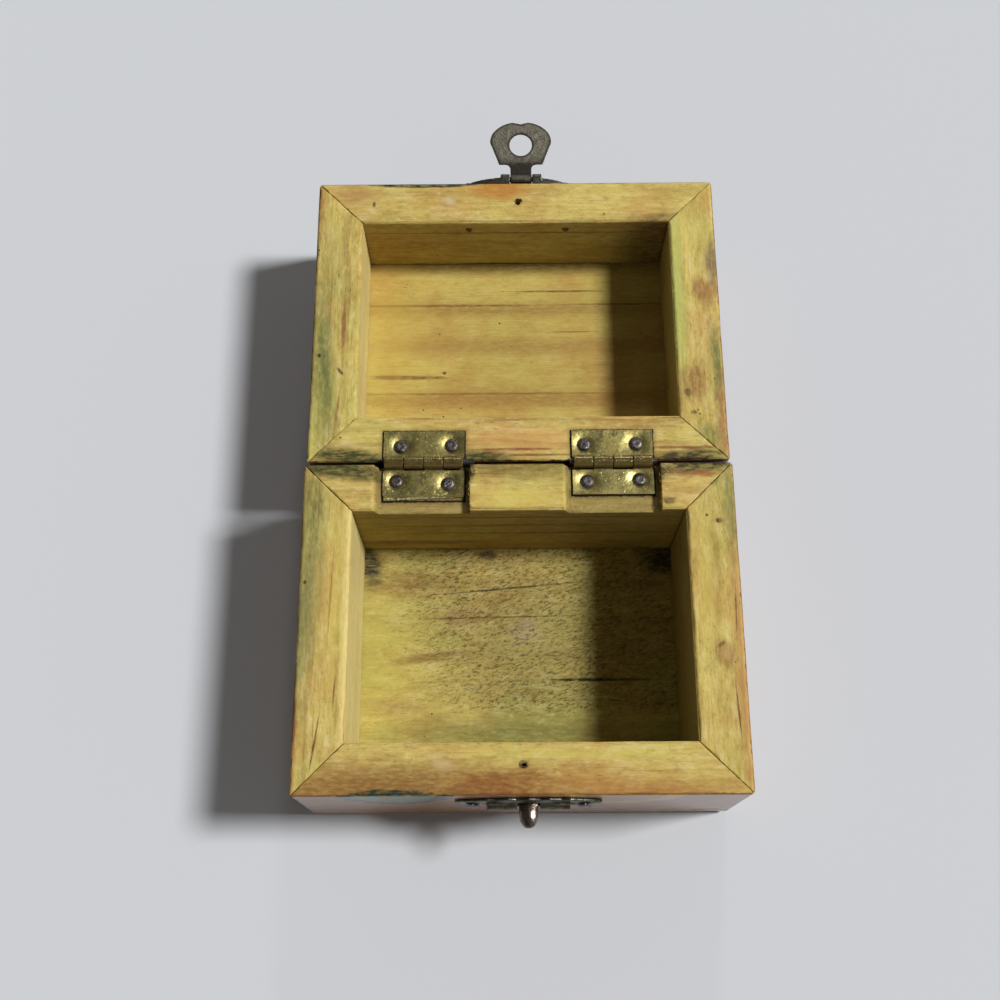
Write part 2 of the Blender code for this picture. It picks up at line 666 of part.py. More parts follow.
def hasp(pewter, steel, lid_frame, lid, flap_pivot):
    """The hasp on the lid: a stamped plate with two rolled ends, its pin, the flap and two nails."""
    nail_z = LID_RIM_Z + HASP_NAIL_ABOVE_RIM
    on_face = Vector((CLASP_OFFSET + HASP_PLATE_SHIFT, FRONT_Y, nail_z))
    bm = bmesh.new()
    above = HASP_PLATE_ABOVE_NAILS
    below = HASP_PLATE_BELOW_NAILS
    add_embossed_plate(bm, HASP_PLATE_WIDTH, above, below, HASP_PLATE_RELIEF, True)
    plate = place("hasp_plate", smooth(finish_mesh("hasp_plate", bm)), pewter, on_face, pivot=lid)

    slot_half = FLAP_NECK_WIDTH / 2 + FLAP_SIDE_PLAY
    tail = HASP_RADIUS + PLATE_THICKNESS
    section, _ = knuckle_section(HASP_RADIUS, HASP_BORE, PLATE_THICKNESS, tail)
    bm = bmesh.new()
    for start in (-slot_half - HASP_KNUCKLE_WIDTH, slot_half):
        add_prism(bm, section, [], (Vector((0, 0, 0)), Z, -Y, X), start, start + HASP_KNUCKLE_WIDTH)
    rolls = place("hasp_rolls", smooth(finish_mesh("hasp_rolls", bm)), None, HASP_AXIS, pivot=lid)

    low = HASP_AXIS_ABOVE_RIM + 4 * MM
    high = HASP_SLOT_ABOVE_AXIS
    deep = HASP_RADIUS + HASP_STANDOFF + 1 * MM
    outline = [(-slot_half, -low), (slot_half, -low), (slot_half, high), (-slot_half, high)]
    bm = bmesh.new()
    add_prism(bm, outline, [], (Vector((0, 0, 0)), X, Z, Y), -deep, deep)
    slot = place("hasp_slot_cutter", finish_mesh("hasp_slot_cutter", bm), None, HASP_AXIS, pivot=lid)

    outline = circle(HASP_BORE, KNUCKLE_STEPS)
    bm = bmesh.new()
    reach = slot_half + HASP_KNUCKLE_WIDTH + 1 * MM
    add_prism(bm, outline, [], (Vector((0, 0, 0)), Z, -Y, X), -reach, reach)
    bore_cutter = place("hasp_bore_cutter", finish_mesh("hasp_bore_cutter", bm), None, HASP_AXIS, pivot=lid)

    combine(plate, rolls, "UNION")
    combine(plate, slot, "DIFFERENCE")
    combine(plate, bore_cutter, "DIFFERENCE")
    pin_half = slot_half + HASP_KNUCKLE_WIDTH
    place("hasp_pin", pin_mesh("hasp_pin", HASP_PIN_RADIUS, -pin_half, pin_half), steel, HASP_AXIS, pivot=lid)

    place("hasp_flap", flap_mesh("hasp_flap"), pewter, HASP_AXIS, pivot=flap_pivot)

    seat = nail_seat(HASP_PLATE_WIDTH, HASP_NAIL_SPACING, HASP_PLATE_RELIEF)
    length = seat + WALL + NAIL_TIP_SHOWING
    nail = nail_mesh("hasp_nail", length)
    places = []
    for side, sign in (("left", -1), ("right", 1)):
        spot = on_face + sign * HASP_NAIL_SPACING / 2 * X - seat * Y
        place(f"hasp_nail_{side}", nail, steel, spot, (math.pi / 2, 0, 0), lid)
        places.append(spot)
    hole = NAIL_SHANK_RADIUS + NAIL_HOLE_CLEARANCE
    through = length + 1 * MM
    drill(plate, "hasp_plate_drill", places, hole, through, Y, lid)
    drill(lid_frame["lid_front_board"], "lid_front_drill", places, hole, through, Y, lid)


def add_nose(pewter):
    """The catch's nose: an oval beak on a thin rod that turns in the plate's barrel."""
    tip = NOSE_REACH - NOSE_HUB_RADIUS
    sections = [
        (0.0, 0.0, -NOSE_HUB_RADIUS),
        (0.75 * NOSE_HALF_WIDTH, 0.58 * NOSE_HUB_RADIUS, -0.8 * NOSE_HUB_RADIUS),
        (0.97 * NOSE_HALF_WIDTH, 0.9 * NOSE_HUB_RADIUS, -0.4 * NOSE_HUB_RADIUS),
        (NOSE_HALF_WIDTH, NOSE_HUB_RADIUS, 0.0),
        (NOSE_HALF_WIDTH, NOSE_HALF_THICKNESS, 0.35 * tip),
        (0.97 * NOSE_HALF_WIDTH, 0.97 * NOSE_HALF_THICKNESS, 0.68 * tip),
        (0.86 * NOSE_HALF_WIDTH, 0.86 * NOSE_HALF_THICKNESS, 0.88 * tip),
        (0.66 * NOSE_HALF_WIDTH, 0.68 * NOSE_HALF_THICKNESS, 0.96 * NOSE_REACH - 0.1 * tip),
        (0.36 * NOSE_HALF_WIDTH, 0.42 * NOSE_HALF_THICKNESS, 0.98 * NOSE_REACH),
        (0.0, 0.0, NOSE_REACH),
    ]
    bm = bmesh.new()
    add_loft(bm, sections, NOSE_SIDES, Vector((0, 0, 0)), -Y, X)
    nose = place("catch_nose", smooth(finish_mesh("catch_nose", bm)), pewter, CATCH_AXIS)
    reach = BARREL_LENGTH / 2 - ROD_SETBACK
    rod = place("nose_rod", pin_mesh("nose_rod", ROD_RADIUS, -reach, reach), None, CATCH_AXIS)
    combine(nose, rod, "UNION")


def catch(pewter, steel, base):
    """The catch on the base: a stamped plate with a rolled barrel, its nose and two nails."""
    on_face = Vector((CLASP_OFFSET, FRONT_Y, CATCH_Z - CATCH_PLATE_DROP))
    bm = bmesh.new()
    half_height = CATCH_PLATE_HALF_HEIGHT
    add_embossed_plate(bm, CATCH_PLATE_WIDTH, half_height, half_height, CATCH_PLATE_RELIEF, False)
    plate = place("catch_plate", smooth(finish_mesh("catch_plate", bm)), pewter, on_face)
    here = Vector((0, 0, 0))
    half = BARREL_LENGTH / 2
    bm = bmesh.new()
    add_prism(bm, circle(BARREL_RADIUS, KNUCKLE_STEPS), [], (here, Y, Z, X), -half, half)
    barrel = place("catch_barrel", smooth(finish_mesh("catch_barrel", bm)), None, CATCH_AXIS)
    slot_half = NOSE_HALF_WIDTH + CATCH_SLOT_CLEARANCE
    low = -CATCH_WINDOW_BELOW
    high = CATCH_WINDOW_ABOVE
    outline = [(-slot_half, low), (slot_half, low), (slot_half, high), (-slot_half, high)]
    deep = 2 * BARREL_RADIUS
    bm = bmesh.new()
    add_prism(bm, outline, [], (here, X, Z, Y), -deep, deep)
    window = place("catch_window_cutter", finish_mesh("catch_window_cutter", bm), None, CATCH_AXIS)
    bm = bmesh.new()
    past = 1 * MM
    add_prism(bm, circle(CATCH_BORE, KNUCKLE_STEPS), [], (here, Y, Z, X), -half - past, half + past)
    bore = place("catch_bore_cutter", finish_mesh("catch_bore_cutter", bm), None, CATCH_AXIS)
    combine(plate, barrel, "UNION")
    combine(plate, window, "DIFFERENCE")
    combine(plate, bore, "DIFFERENCE")
    add_nose(pewter)

    seat = nail_seat(CATCH_PLATE_WIDTH, CATCH_NAIL_SPACING, CATCH_PLATE_RELIEF)
    length = seat + WALL - WOOD_BEHIND_NAIL
    nail = nail_mesh("catch_nail", length)
    places = []
    for side, sign in (("left", -1), ("right", 1)):
        spot = on_face + sign * CATCH_NAIL_SPACING / 2 * X - seat * Y
        place(f"catch_nail_{side}", nail, steel, spot, (math.pi / 2, 0, 0))
        places.append(spot)
    hole = NAIL_SHANK_RADIUS + NAIL_HOLE_CLEARANCE
    depth = length + NAIL_HOLE_CLEARANCE
    drill(plate, "catch_plate_drill", places, hole, depth, Y)
    drill(base["base_front_board"], "base_front_drill", places, hole, depth, Y)


def main():
    """Builds the whole box."""
    clear_scene()
    pine = make_material("raw_pine", (0.62, 0.50, 0.20), 0.75)
    brass = make_material("tarnished_brass", (0.52, 0.43, 0.18), 0.38, 1.0)
    steel = make_material("dark_steel", (0.16, 0.15, 0.15), 0.45, 1.0)
    pewter = make_material("grey_pewter", (0.30, 0.28, 0.25), 0.48, 1.0)
    lid = make_pivot("lid_pivot", HINGE_AXIS, -math.radians(LID_OPEN_DEG))
    flap_pivot = make_pivot("flap_pivot", HASP_AXIS, -math.radians(FLAP_LIFT_DEG), lid)
    base = base_boards(pine)
    lid_frame = lid_boards(pine, lid)
    hinges(brass, steel, base, lid_frame, lid)
    hasp(pewter, steel, lid_frame, lid, flap_pivot)
    catch(pewter, steel, base)


main()
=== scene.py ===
"""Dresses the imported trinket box: weathered pine, tarnished hinges and an old hasp, under studio light."""
import logging
import math
from dataclasses import dataclass, field
from enum import Enum
from itertools import product

import bmesh
import bpy
import numpy as np
from mathutils import Matrix, Vector


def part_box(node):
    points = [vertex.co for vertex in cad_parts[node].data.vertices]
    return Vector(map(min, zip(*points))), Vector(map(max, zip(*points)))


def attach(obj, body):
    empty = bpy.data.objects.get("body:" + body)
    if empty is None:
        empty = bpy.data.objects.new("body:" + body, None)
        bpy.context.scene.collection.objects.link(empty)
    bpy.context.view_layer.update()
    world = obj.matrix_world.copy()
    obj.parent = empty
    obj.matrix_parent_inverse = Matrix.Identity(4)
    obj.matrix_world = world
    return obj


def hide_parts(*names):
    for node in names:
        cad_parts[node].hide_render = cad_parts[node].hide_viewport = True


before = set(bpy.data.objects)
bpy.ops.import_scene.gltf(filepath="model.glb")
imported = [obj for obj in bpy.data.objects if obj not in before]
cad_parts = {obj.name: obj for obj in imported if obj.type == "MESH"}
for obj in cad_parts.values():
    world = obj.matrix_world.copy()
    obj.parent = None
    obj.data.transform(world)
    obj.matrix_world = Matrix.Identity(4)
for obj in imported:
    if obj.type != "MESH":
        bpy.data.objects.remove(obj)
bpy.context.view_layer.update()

LOG = logging.getLogger("trinket_box")

# One millimetre in metres. The box's half width, the hinge's axis (millimetres) and the rise of the
# floor's torn grain (degrees) follow.
MM = 0.001
HALF_WIDTH = 45.0
HINGE_Y, HINGE_Z = 34.95, 33.05
TORN_RISE = 17.0

Triple = tuple[float, float, float]
Pair = tuple[float, float]


def srgb(red: int, green: int, blue: int) -> Triple:
    """Turns a colour as a screen shows it into the linear values a shader takes.

    Args:
        red: red from 0 to 255.
        green: green from 0 to 255.
        blue: blue from 0 to 255.

    Returns:
        The three linear values from 0 to 1.
    """
    shares = [value / 255 for value in (red, green, blue)]
    return tuple(s / 12.92 if s <= 0.04045 else ((s + 0.055) / 1.055) ** 2.4 for s in shares)


class Along(Enum):
    """Which way a board's grain runs."""

    ACROSS = 0.0
    DEEP = 90.0


class Half(Enum):
    """The two halves of the box: their outer faces' Y, their rim's height and their panel's, in millimetres."""

    BASE = (-34.25, 34.25, 34.2, 6.4)
    LID = (35.65, 104.15, 31.7, 12.7)


# ---- shader graphs


class Value:
    """A node's output that is reckoned with like a number or a vector."""

    def __init__(self, graph: "Graph", socket: bpy.types.NodeSocket) -> None:
        """Keeps the output and the graph that it belongs to."""
        self.graph = graph
        self.socket = socket

    def __add__(self, other: "Feed") -> "Value":
        """The sum."""
        return self.graph.math("ADD", self, other)

    def __radd__(self, other: "Feed") -> "Value":
        """The sum, with the value on the right."""
        return self.graph.math("ADD", other, self)

    def __sub__(self, other: "Feed") -> "Value":
        """The difference."""
        return self.graph.math("SUBTRACT", self, other)

    def __rsub__(self, other: "Feed") -> "Value":
        """The difference, with the value on the right."""
        return self.graph.math("SUBTRACT", other, self)

    def __mul__(self, other: "Feed") -> "Value":
        """The product."""
        return self.graph.math("MULTIPLY", self, other)

    def __truediv__(self, other: "Feed") -> "Value":
        """The quotient."""
        return self.graph.math("DIVIDE", self, other)

    def __pow__(self, other: "Feed") -> "Value":
        """The power."""
        return self.graph.math("POWER", self, other)

    def __abs__(self) -> "Value":
        """The size without its sign."""
        return self.graph.math("ABSOLUTE", self)


Feed = float | Triple | Value


class Graph:
    """Adds nodes to one shader or group tree and links them."""

    def __init__(self, tree: bpy.types.NodeTree) -> None:
        """Keeps the tree that the nodes go into."""
        self.tree = tree

    def node(self, kind: str, inputs: dict[str | int, Feed] | None = None, **settings: object) -> bpy.types.Node:
        """Adds a node.

        Args:
            kind: the node's type.
            inputs: what goes into its inputs, by name or number.
            **settings: the node's own settings.

        Returns:
            The node.
        """
        made = self.tree.nodes.new(kind)
        for name, value in settings.items():
            setattr(made, name, value)
        for name, value in (inputs or {}).items():
            self.feed(made.inputs[name], value)
        return made

    def value(self, kind: str, output: str | int, inputs: dict[str | int, Feed], **settings: object) -> Value:
        """Adds a node and returns one of its outputs."""
        return Value(self, self.node(kind, inputs, **settings).outputs[output])

    def feed(self, socket: bpy.types.NodeSocket, value: Feed) -> None:
        """Links a value into an input, or sets the input to a constant."""
        if isinstance(value, Value):
            self.tree.links.new(value.socket, socket)
        elif isinstance(value, tuple) and socket.type == "RGBA":
            socket.default_value = (*value, 1.0)
        else:
            socket.default_value = value

    def math(self, operation: str, *feeds: Feed) -> Value:
        """Adds a Math node, or a Vector Math node where a vector goes in."""
        vectors = [isinstance(f, tuple) or isinstance(f, Value) and f.socket.type == "VECTOR" for f in feeds]
        kind = "ShaderNodeVectorMath" if any(vectors) else "ShaderNodeMath"
        output = "Value" if operation == "LENGTH" else 0
        return self.value(kind, output, dict(enumerate(feeds)), operation=operation)

    def parts(self, vector: Value) -> list[Value]:
        """Splits a vector into its three parts."""
        return [Value(self, part) for part in self.node("ShaderNodeSeparateXYZ", {0: vector}).outputs]

    def joined(self, *parts: Feed) -> Value:
        """Joins three values into a vector."""
        return self.value("ShaderNodeCombineXYZ", 0, dict(enumerate(parts)))

    def noise(self, vector: Value, scale: Feed = 1.0, detail: float = 2.0, rough: float = 0.5) -> Value:
        """Adds a Noise Texture and returns its value, from 0 to 1 about 0.5."""
        inputs = {"Vector": vector, "Scale": scale, "Detail": detail, "Roughness": rough}
        return self.value("ShaderNodeTexNoise", "Fac", inputs)

    def turned(self, vector: Value, angle: Feed) -> Value:
        """Turns a vector about Z by an angle in radians."""
        return self.value("ShaderNodeVectorRotate", 0, {"Vector": vector, "Angle": angle}, rotation_type="Z_AXIS")

    def mask(self, value: Feed, low: Feed, high: Feed) -> Value:
        """Eases a value from 0 at low to 1 at high."""
        inputs = {"Value": value, "From Min": low, "From Max": high}
        return self.value("ShaderNodeMapRange", "Result", inputs, interpolation_type="SMOOTHSTEP")

    def mix(self, share: Feed, a: Feed, b: Feed, blend: str = "MIX") -> Value:
        """Mixes two colours."""
        made = self.node("ShaderNodeMix", {"Factor": share}, data_type="RGBA", blend_type=blend)
        for socket, color in zip([s for s in made.inputs if s.type == "RGBA"], (a, b)):
            self.feed(socket, color)
        return Value(self, next(s for s in made.outputs if s.type == "RGBA"))

    def layers(self, color: Feed, *over: tuple[Feed, Feed]) -> Value:
        """Lays colours over a colour, each after the share that it covers."""
        for share, top in over:
            color = self.mix(share, color, top)
        return color

    def group(self, tree: bpy.types.NodeTree, **inputs: Feed) -> dict[str, Value]:
        """Places a node group and returns its outputs by name."""
        made = self.node("ShaderNodeGroup", node_tree=tree)
        for name, value in inputs.items():
            self.feed(made.inputs[name], value)
        return {output.name: Value(self, output) for output in made.outputs}


VECTOR = "NodeSocketVector"
FLOAT = "NodeSocketFloat"


class GroupGraph(Graph):
    """The graph of a shader node group with named sockets."""

    def __init__(self, name: str, inputs: dict[str, str]) -> None:
        """Starts the group.

        Args:
            name: the group's name.
            inputs: the kind of each input socket, by name.
        """
        super().__init__(bpy.data.node_groups.new(name, "ShaderNodeTree"))
        for label, kind in inputs.items():
            self.tree.interface.new_socket(label, in_out="INPUT", socket_type=kind)
        entry = self.node("NodeGroupInput")
        self.given = {label: Value(self, entry.outputs[label]) for label in inputs}

    def close(self, **values: Value) -> bpy.types.NodeTree:
        """Gives the group its outputs, one for each named value, and returns it."""
        for label in values:
            self.tree.interface.new_socket(label, in_out="OUTPUT", socket_type=FLOAT)
        self.node("NodeGroupOutput", values)
        return self.tree


class Effects:
    """The shader groups that the finishes share."""

    def __init__(self) -> None:
        """Builds every group once."""
        self.grain = self._grain()
        self.stain = self._stain()
        self.patina = self._patina()
        self.scratches = self._scratches()

    @staticmethod
    def _grain() -> bpy.types.NodeTree:
        """Growth rings, fibres and flecks of a board whose grain runs along X, in millimetres."""
        graph = GroupGraph("pine_grain", {"Vector": VECTOR, "Spacing": FLOAT, "Bend": FLOAT})
        point = graph.given["Vector"]
        slow = graph.noise(point * (0.022, 0.11, 0.11), 1.0, 2.0)
        _, y, z = graph.parts(point)
        place = y + z * 0.45 + (slow - 0.5) * graph.given["Bend"]
        turn = graph.math("FRACT", place / graph.given["Spacing"])
        rise = graph.mask(turn, 0.35, 0.93)
        drop = 1.0 - graph.mask(turn, 0.94, 1.0)
        uneven = graph.mask(graph.noise(point * (0.03, 0.4, 0.4), 1.0), 0.3, 0.6)
        ring = rise * drop * uneven
        fibre = graph.noise(point * (0.16, 2.6, 2.6), 1.0, 4.0, 0.62)
        streak = graph.noise(point * (0.55, 5.5, 5.5), 1.0, 2.0)
        gather = graph.mask(graph.noise(point * (0.05, 0.16, 0.16), 1.0), 0.45, 0.65)
        fleck = graph.mask(streak, 0.66, 0.74) * gather
        line = graph.mask(graph.noise(point * (0.06, 3.1, 3.1), 1.0, 3.0, 0.6), 0.58, 0.7) * uneven
        fuzz = graph.noise(point * (0.45, 0.9, 0.9), 1.0, 5.0, 0.68)
        height = fibre * 0.05 + fuzz * 0.16 - fleck * 0.07
        return graph.close(Ring=ring, Fibre=fibre, Fleck=fleck, Streak=line, Fuzz=fuzz, Height=height)

    @staticmethod
    def _stain() -> bpy.types.NodeTree:
        """A ragged patch at one place on the surface, thinner where the wood resists it."""
        inputs = {"Vector": VECTOR, "Flow": VECTOR, "Center": VECTOR, "Size": VECTOR}
        inputs |= {"Turn": FLOAT, "Soft": FLOAT, "Ragged": FLOAT}
        graph = GroupGraph("stain_patch", inputs)
        given = graph.given
        turned = graph.turned(given["Vector"] - given["Center"], given["Turn"])
        reach = graph.math("LENGTH", turned / given["Size"])
        fray = graph.noise(given["Flow"], 0.6, 5.0, 0.68) - 0.5
        reach = reach + fray * 2.2 * given["Ragged"]
        thin = graph.mask(graph.noise(given["Flow"] + (5.0, 9.0, 2.0), 1.3, 5.0, 0.66), 0.36, 0.6)
        inside = 1.0 - graph.mask(reach, 1.0 - given["Soft"], 1.0 + given["Soft"])
        return graph.close(Mask=inside * (0.6 + thin * 0.4))

    @staticmethod
    def _patina() -> bpy.types.NodeTree:
        """Tarnish clouds, dark pits and a hammered height for metal, in millimetres."""
        graph = GroupGraph("patina", {"Vector": VECTOR, "Size": FLOAT})
        vector, size = graph.given.values()
        point = vector / graph.joined(size, size, size)
        cloud = graph.mask(graph.noise(point, 0.9, 5.0, 0.62), 0.38, 0.66)
        pit = graph.mask(graph.noise(point, 5.2, 2.0, 0.5), 0.63, 0.72)
        rough = graph.noise(point, 2.4, 4.0, 0.6)
        fine = graph.noise(vector, 2.6, 4.0, 0.65)
        height = rough * 0.05 - pit * 0.03 + fine * 0.035
        return graph.close(Cloud=cloud, Pit=pit, Speckle=graph.mask(fine, 0.5, 0.36), Height=height)

    @staticmethod
    def _scratches() -> bpy.types.NodeTree:
        """Bright strokes where a tool has slipped, in millimetres."""
        graph = GroupGraph("scratches", {"Vector": VECTOR, "Wide": FLOAT})
        strokes = None
        for index, turn in enumerate((0.5, 1.9, 2.8)):
            thin = graph.turned(graph.given["Vector"], turn) * (0.28, 2.6, 0.9)
            line = graph.noise(thin + (7.0 * index, 3.0, 0.0), 1.0, 1.0)
            stroke = 1.0 - graph.mask(abs(line - 0.5), 0.0, graph.given["Wide"])
            strokes = stroke if strokes is None else graph.math("MAXIMUM", strokes, stroke)
        return graph.close(Mask=strokes)


# ---- finishes


@dataclass(frozen=True)
class Stain:
    """One patch of another colour on a board, placed in millimetres in the box's frame."""

    center: Triple
    size: Triple
    color: Triple
    strength: float = 1.0
    turn: float = 0.0
    soft: float = 0.5
    ragged: float = 0.9


class Finish:
    """A material with its object coordinates in millimetres."""

    def __init__(self, name: str, effects: Effects) -> None:
        """Starts the material.

        Args:
            name: the material's name.
            effects: the shared shader groups.
        """
        self.material = bpy.data.materials.new(name)
        self.material.use_nodes = True
        self.effects = effects
        self.graph = Graph(self.material.node_tree)
        self.shader = self.material.node_tree.nodes["Principled BSDF"]
        self.point = self.graph.value("ShaderNodeTexCoord", "Object", {}) * (1 / MM, 1 / MM, 1 / MM)
        self.flow = self.point

    def wire(self, label: str, value: Feed) -> None:
        """Feeds one of the shader's inputs."""
        self.graph.feed(self.shader.inputs[label], value)

    def bump(self, height: Value) -> None:
        """Raises the surface by a height in millimetres."""
        inputs = {"Distance": MM, "Strength": 1.0, "Height": height}
        self.wire("Normal", self.graph.value("ShaderNodeBump", "Normal", inputs))

    def attribute(self, name: str) -> Value:
        """A value that the piece's points carry."""
        return self.graph.value("ShaderNodeAttribute", "Fac", {}, attribute_name=name)

    def patch(self, stain: Stain) -> Value:
        """How strongly a stain covers each point."""
        made = self.graph.group(
            self.effects.stain, Vector=self.point, Flow=self.flow, Center=stain.center, Size=stain.size,
            Turn=math.radians(-stain.turn), Soft=stain.soft, Ragged=stain.ragged,
        )
        return made["Mask"] * stain.strength

    def stained(self, color: Value, stains: tuple[Stain, ...]) -> Value:
        """Lays stains over a colour."""
        for stain in stains:
            color = self.graph.mix(self.patch(stain), color, stain.color)
        return color

    def moved(self, turn_deg: float, shift: Triple) -> Value:
        """Turns and shifts the coordinates, so that two boards don't match."""
        inputs = {"Rotation": (0.0, 0.0, math.radians(turn_deg)), "Location": shift, "Vector": self.point}
        return self.graph.value("ShaderNodeMapping", "Vector", inputs)


@dataclass(frozen=True)
class PineColors:
    """The colours of one board's wood, as linear values."""

    light: Triple = srgb(214, 195, 108)
    warm: Triple = srgb(202, 170, 94)
    late: Triple = srgb(144, 114, 58)
    fleck: Triple = srgb(82, 60, 32)
    washed: Triple = srgb(184, 182, 92)
    pale: Triple = srgb(232, 216, 160)
    streak: Triple = srgb(152, 88, 52)
    dot: Triple = srgb(56, 40, 26)
    torn: Triple = srgb(226, 214, 150)
    # Below: a darker halo round the hinge leaves, then the painted shadow line along their edges.
    dirt: Triple = srgb(70, 60, 30)
    line: Triple = srgb(22, 17, 9)


@dataclass(frozen=True)
class Paint:
    """The painted and varnished outside: its colours, and the pitch and shift of its half ovals in millimetres."""

    ground: Triple = srgb(138, 88, 48)
    pale: Triple = srgb(148, 108, 66)
    green: Triple = srgb(30, 56, 44)
    leaf: Triple = srgb(84, 122, 104)
    gold: Triple = srgb(178, 132, 50)
    # Painted shade along the hinge gap between the halves, near the rims.
    gap: Triple = srgb(44, 34, 22)
    seam: Triple = srgb(58, 40, 24)
    aged: Triple = srgb(150, 128, 112)
    pitch: float = 45.0
    shift: float = 25.0


@dataclass(frozen=True)
class PineBoard:
    """The finish of one board: raw inside and on its rim, painted and varnished outside."""

    name: str
    half: Half
    along: Along
    shift: Triple
    spacing: float = 5.0
    bend: float = 9.0
    rings: float = 0.45
    green_wash: float = 0.5
    flecks: float = 0.7
    fuzz: float = 0.45
    streaks: float = 0.45
    panel: bool = False
    rough_sawn: bool = False
    # Painted light on the cavity side of the wall below the rim, and how much of it covers: painted shade on walls
    # turned from the key light, painted sunlight on walls facing it.
    painted_wall_light: Triple = srgb(86, 72, 44)
    painted_wall_light_share: float = 0.0
    leaves: tuple[str, ...] = ()
    blotch: float = 0.3
    stains: tuple[Stain, ...] = ()
    spills: tuple[Stain, ...] = ()
    wood: PineColors = PineColors()
    paint: Paint = Paint()

    def outside(self, finish: Finish) -> Value:
        """How much of a point belongs to the painted outside, with a ragged edge."""
        graph = finish.graph
        x, y, z = graph.parts(finish.point)
        near, far, _, panel = self.half.value
        if self.panel:
            return graph.mask(z, panel - 0.2, panel - 0.3)
        margin = graph.math("MINIMUM", HALF_WIDTH - abs(x), y - near)
        margin = graph.math("MINIMUM", margin, far - y)
        fray = graph.noise(finish.point, 0.8, 4.0, 0.6)
        edge = 0.1 + graph.mask(fray, 0.45, 0.8) * 0.35
        return 1.0 - graph.mask(margin - edge, 0.0, 0.12)

    def painting(self, finish: Finish) -> Value:
        """The outside's colour: a varnished ground with green and gold half ovals hanging from the rim, and painted
        shade by the hinge gap.
        """
        graph, paint = finish.graph, self.paint
        x, y, z = graph.parts(finish.point)
        near, far, rim, panel = self.half.value
        cloud = graph.mask(graph.noise(finish.point, 0.07, 4.0, 0.55), 0.35, 0.68)
        rise = graph.math("COSINE", (z - rim) * 0.11)
        around = graph.math("COSINE", (y - near) * (4 * math.pi / (far - near)))
        across = (x + paint.shift) * (math.tau / paint.pitch)
        fray = (graph.noise(finish.point, 0.5, 3.0) - 0.5) * 0.9
        lobe = graph.math("COSINE", across) + (rise + (around + fray))
        green = graph.mask(graph.math("COSINE", across * 0.5), -0.1, 0.1)
        hatch = graph.mask(lobe, 1.5, 1.6) * graph.mask(graph.math("SINE", (z + x * 0.6) * 2.2), 0.6, 0.8)
        # Painted shade on the back faces beside the hinge gap, a few millimetres under the rim.
        gap = graph.mask(abs(y - HINGE_Y), 1.3, 0.9) * graph.mask(z, rim - 5.0, rim - 1.5)
        return graph.layers(
            graph.mix(cloud, paint.ground, paint.pale),
            (graph.mask(lobe, 1.9, 2.0), graph.mix(green, paint.gold, paint.green)),
            (graph.mask(lobe, 2.35, 2.45) * 0.75, graph.mix(green, paint.ground, paint.leaf)),
            (hatch * 0.7, paint.gold),
            (gap * 0.9, paint.gap),
            (graph.mask(abs(z - panel), 0.9, 0.1) * 0.7, paint.seam),
        )

    def inside(self, finish: Finish, color: Value) -> Value:
        """Painted light on the cavity's walls, a darker halo round the hinge leaves and a painted shadow line along
        them.
        """
        graph = finish.graph
        x, y, z = graph.parts(finish.point)
        rim = self.half.value[2]
        # Painted light on the wall below the rim: painted shade on most boards, painted sunlight on the left ones.
        color = graph.mix(graph.mask(z, rim - 0.3, rim - 1.4) * self.painted_wall_light_share, color, self.painted_wall_light)
        for node in self.leaves:
            low, high = (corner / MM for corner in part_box(node))
            over_x = abs(x - (low.x + high.x) / 2) - (high.x - low.x) / 2
            over_y = abs(y - (low.y + high.y) / 2) - (high.y - low.y) / 2
            fray = (graph.noise(finish.point, 1.4, 4.0, 0.65) - 0.5) * 0.7
            over = graph.math("MAXIMUM", over_x, over_y) + fray
            # A darker halo up to 1.3 mm round each leaf, and a near-black painted shadow line hugging the leaf's
            # edge.
            line = graph.mask(over, 0.4, 0.2) * graph.mask(over, -0.25, -0.1)
            color = graph.layers(color, (graph.mask(over, 1.3, 0.1) * 0.4, self.wood.dirt), (line, self.wood.line))
        return color

    def build(self, effects: Effects) -> bpy.types.Material:
        """Builds the board's material.

        Args:
            effects: the shared shader groups.

        Returns:
            The material.
        """
        finish = Finish(self.name + "_pine", effects)
        graph, wood, point = finish.graph, self.wood, finish.point
        placed = finish.moved(self.along.value, self.shift)
        finish.flow = placed * (0.4, 1.2, 1.2)
        grain = graph.group(effects.grain, Vector=placed, Spacing=self.spacing, Bend=self.bend)
        warm = graph.mask(graph.noise(placed, 0.06, 3.0), 0.35, 0.65)
        wash = graph.mask(graph.noise(placed + (31.0, 17.0, 5.0), 0.045, 4.0, 0.6), 0.42, 0.7)
        tone = graph.mask(grain["Fibre"], 0.62, 0.38) * 0.18
        blotch = graph.noise(placed * (0.14, 0.5, 0.5), 1.0, 3.0, 0.6)
        fuzz = grain["Fuzz"]
        speck = graph.mask(graph.noise(point, 2.6, 3.0, 0.6), 0.61, 0.7)
        near_dot = graph.value("ShaderNodeTexVoronoi", "Distance", {"Vector": point, "Scale": 0.3})
        sparse = graph.mask(graph.noise(point + (40.0, 0.0, 9.0), 0.17, 2.0), 0.53, 0.6)
        color = graph.layers(
            graph.mix(warm, wood.light, wood.warm),
            (wash * self.green_wash, wood.washed),
            (grain["Ring"] * self.rings, wood.late),
            (tone, wood.late),
            (graph.mask(blotch, 0.48, 0.3) * self.blotch, wood.late),
            (graph.mask(blotch, 0.52, 0.7) * self.blotch, wood.pale),
            (graph.mask(fuzz, 0.5, 0.3) * self.fuzz, wood.late),
            (graph.mask(fuzz, 0.52, 0.72) * self.fuzz, wood.pale),
            (grain["Streak"] * self.streaks, wood.streak),
            (speck * (0.42 * self.flecks), wood.fleck),
            (graph.mask(near_dot, 0.075, 0.045) * sparse, wood.dot),
            (grain["Fleck"] * self.flecks, wood.fleck),
        )
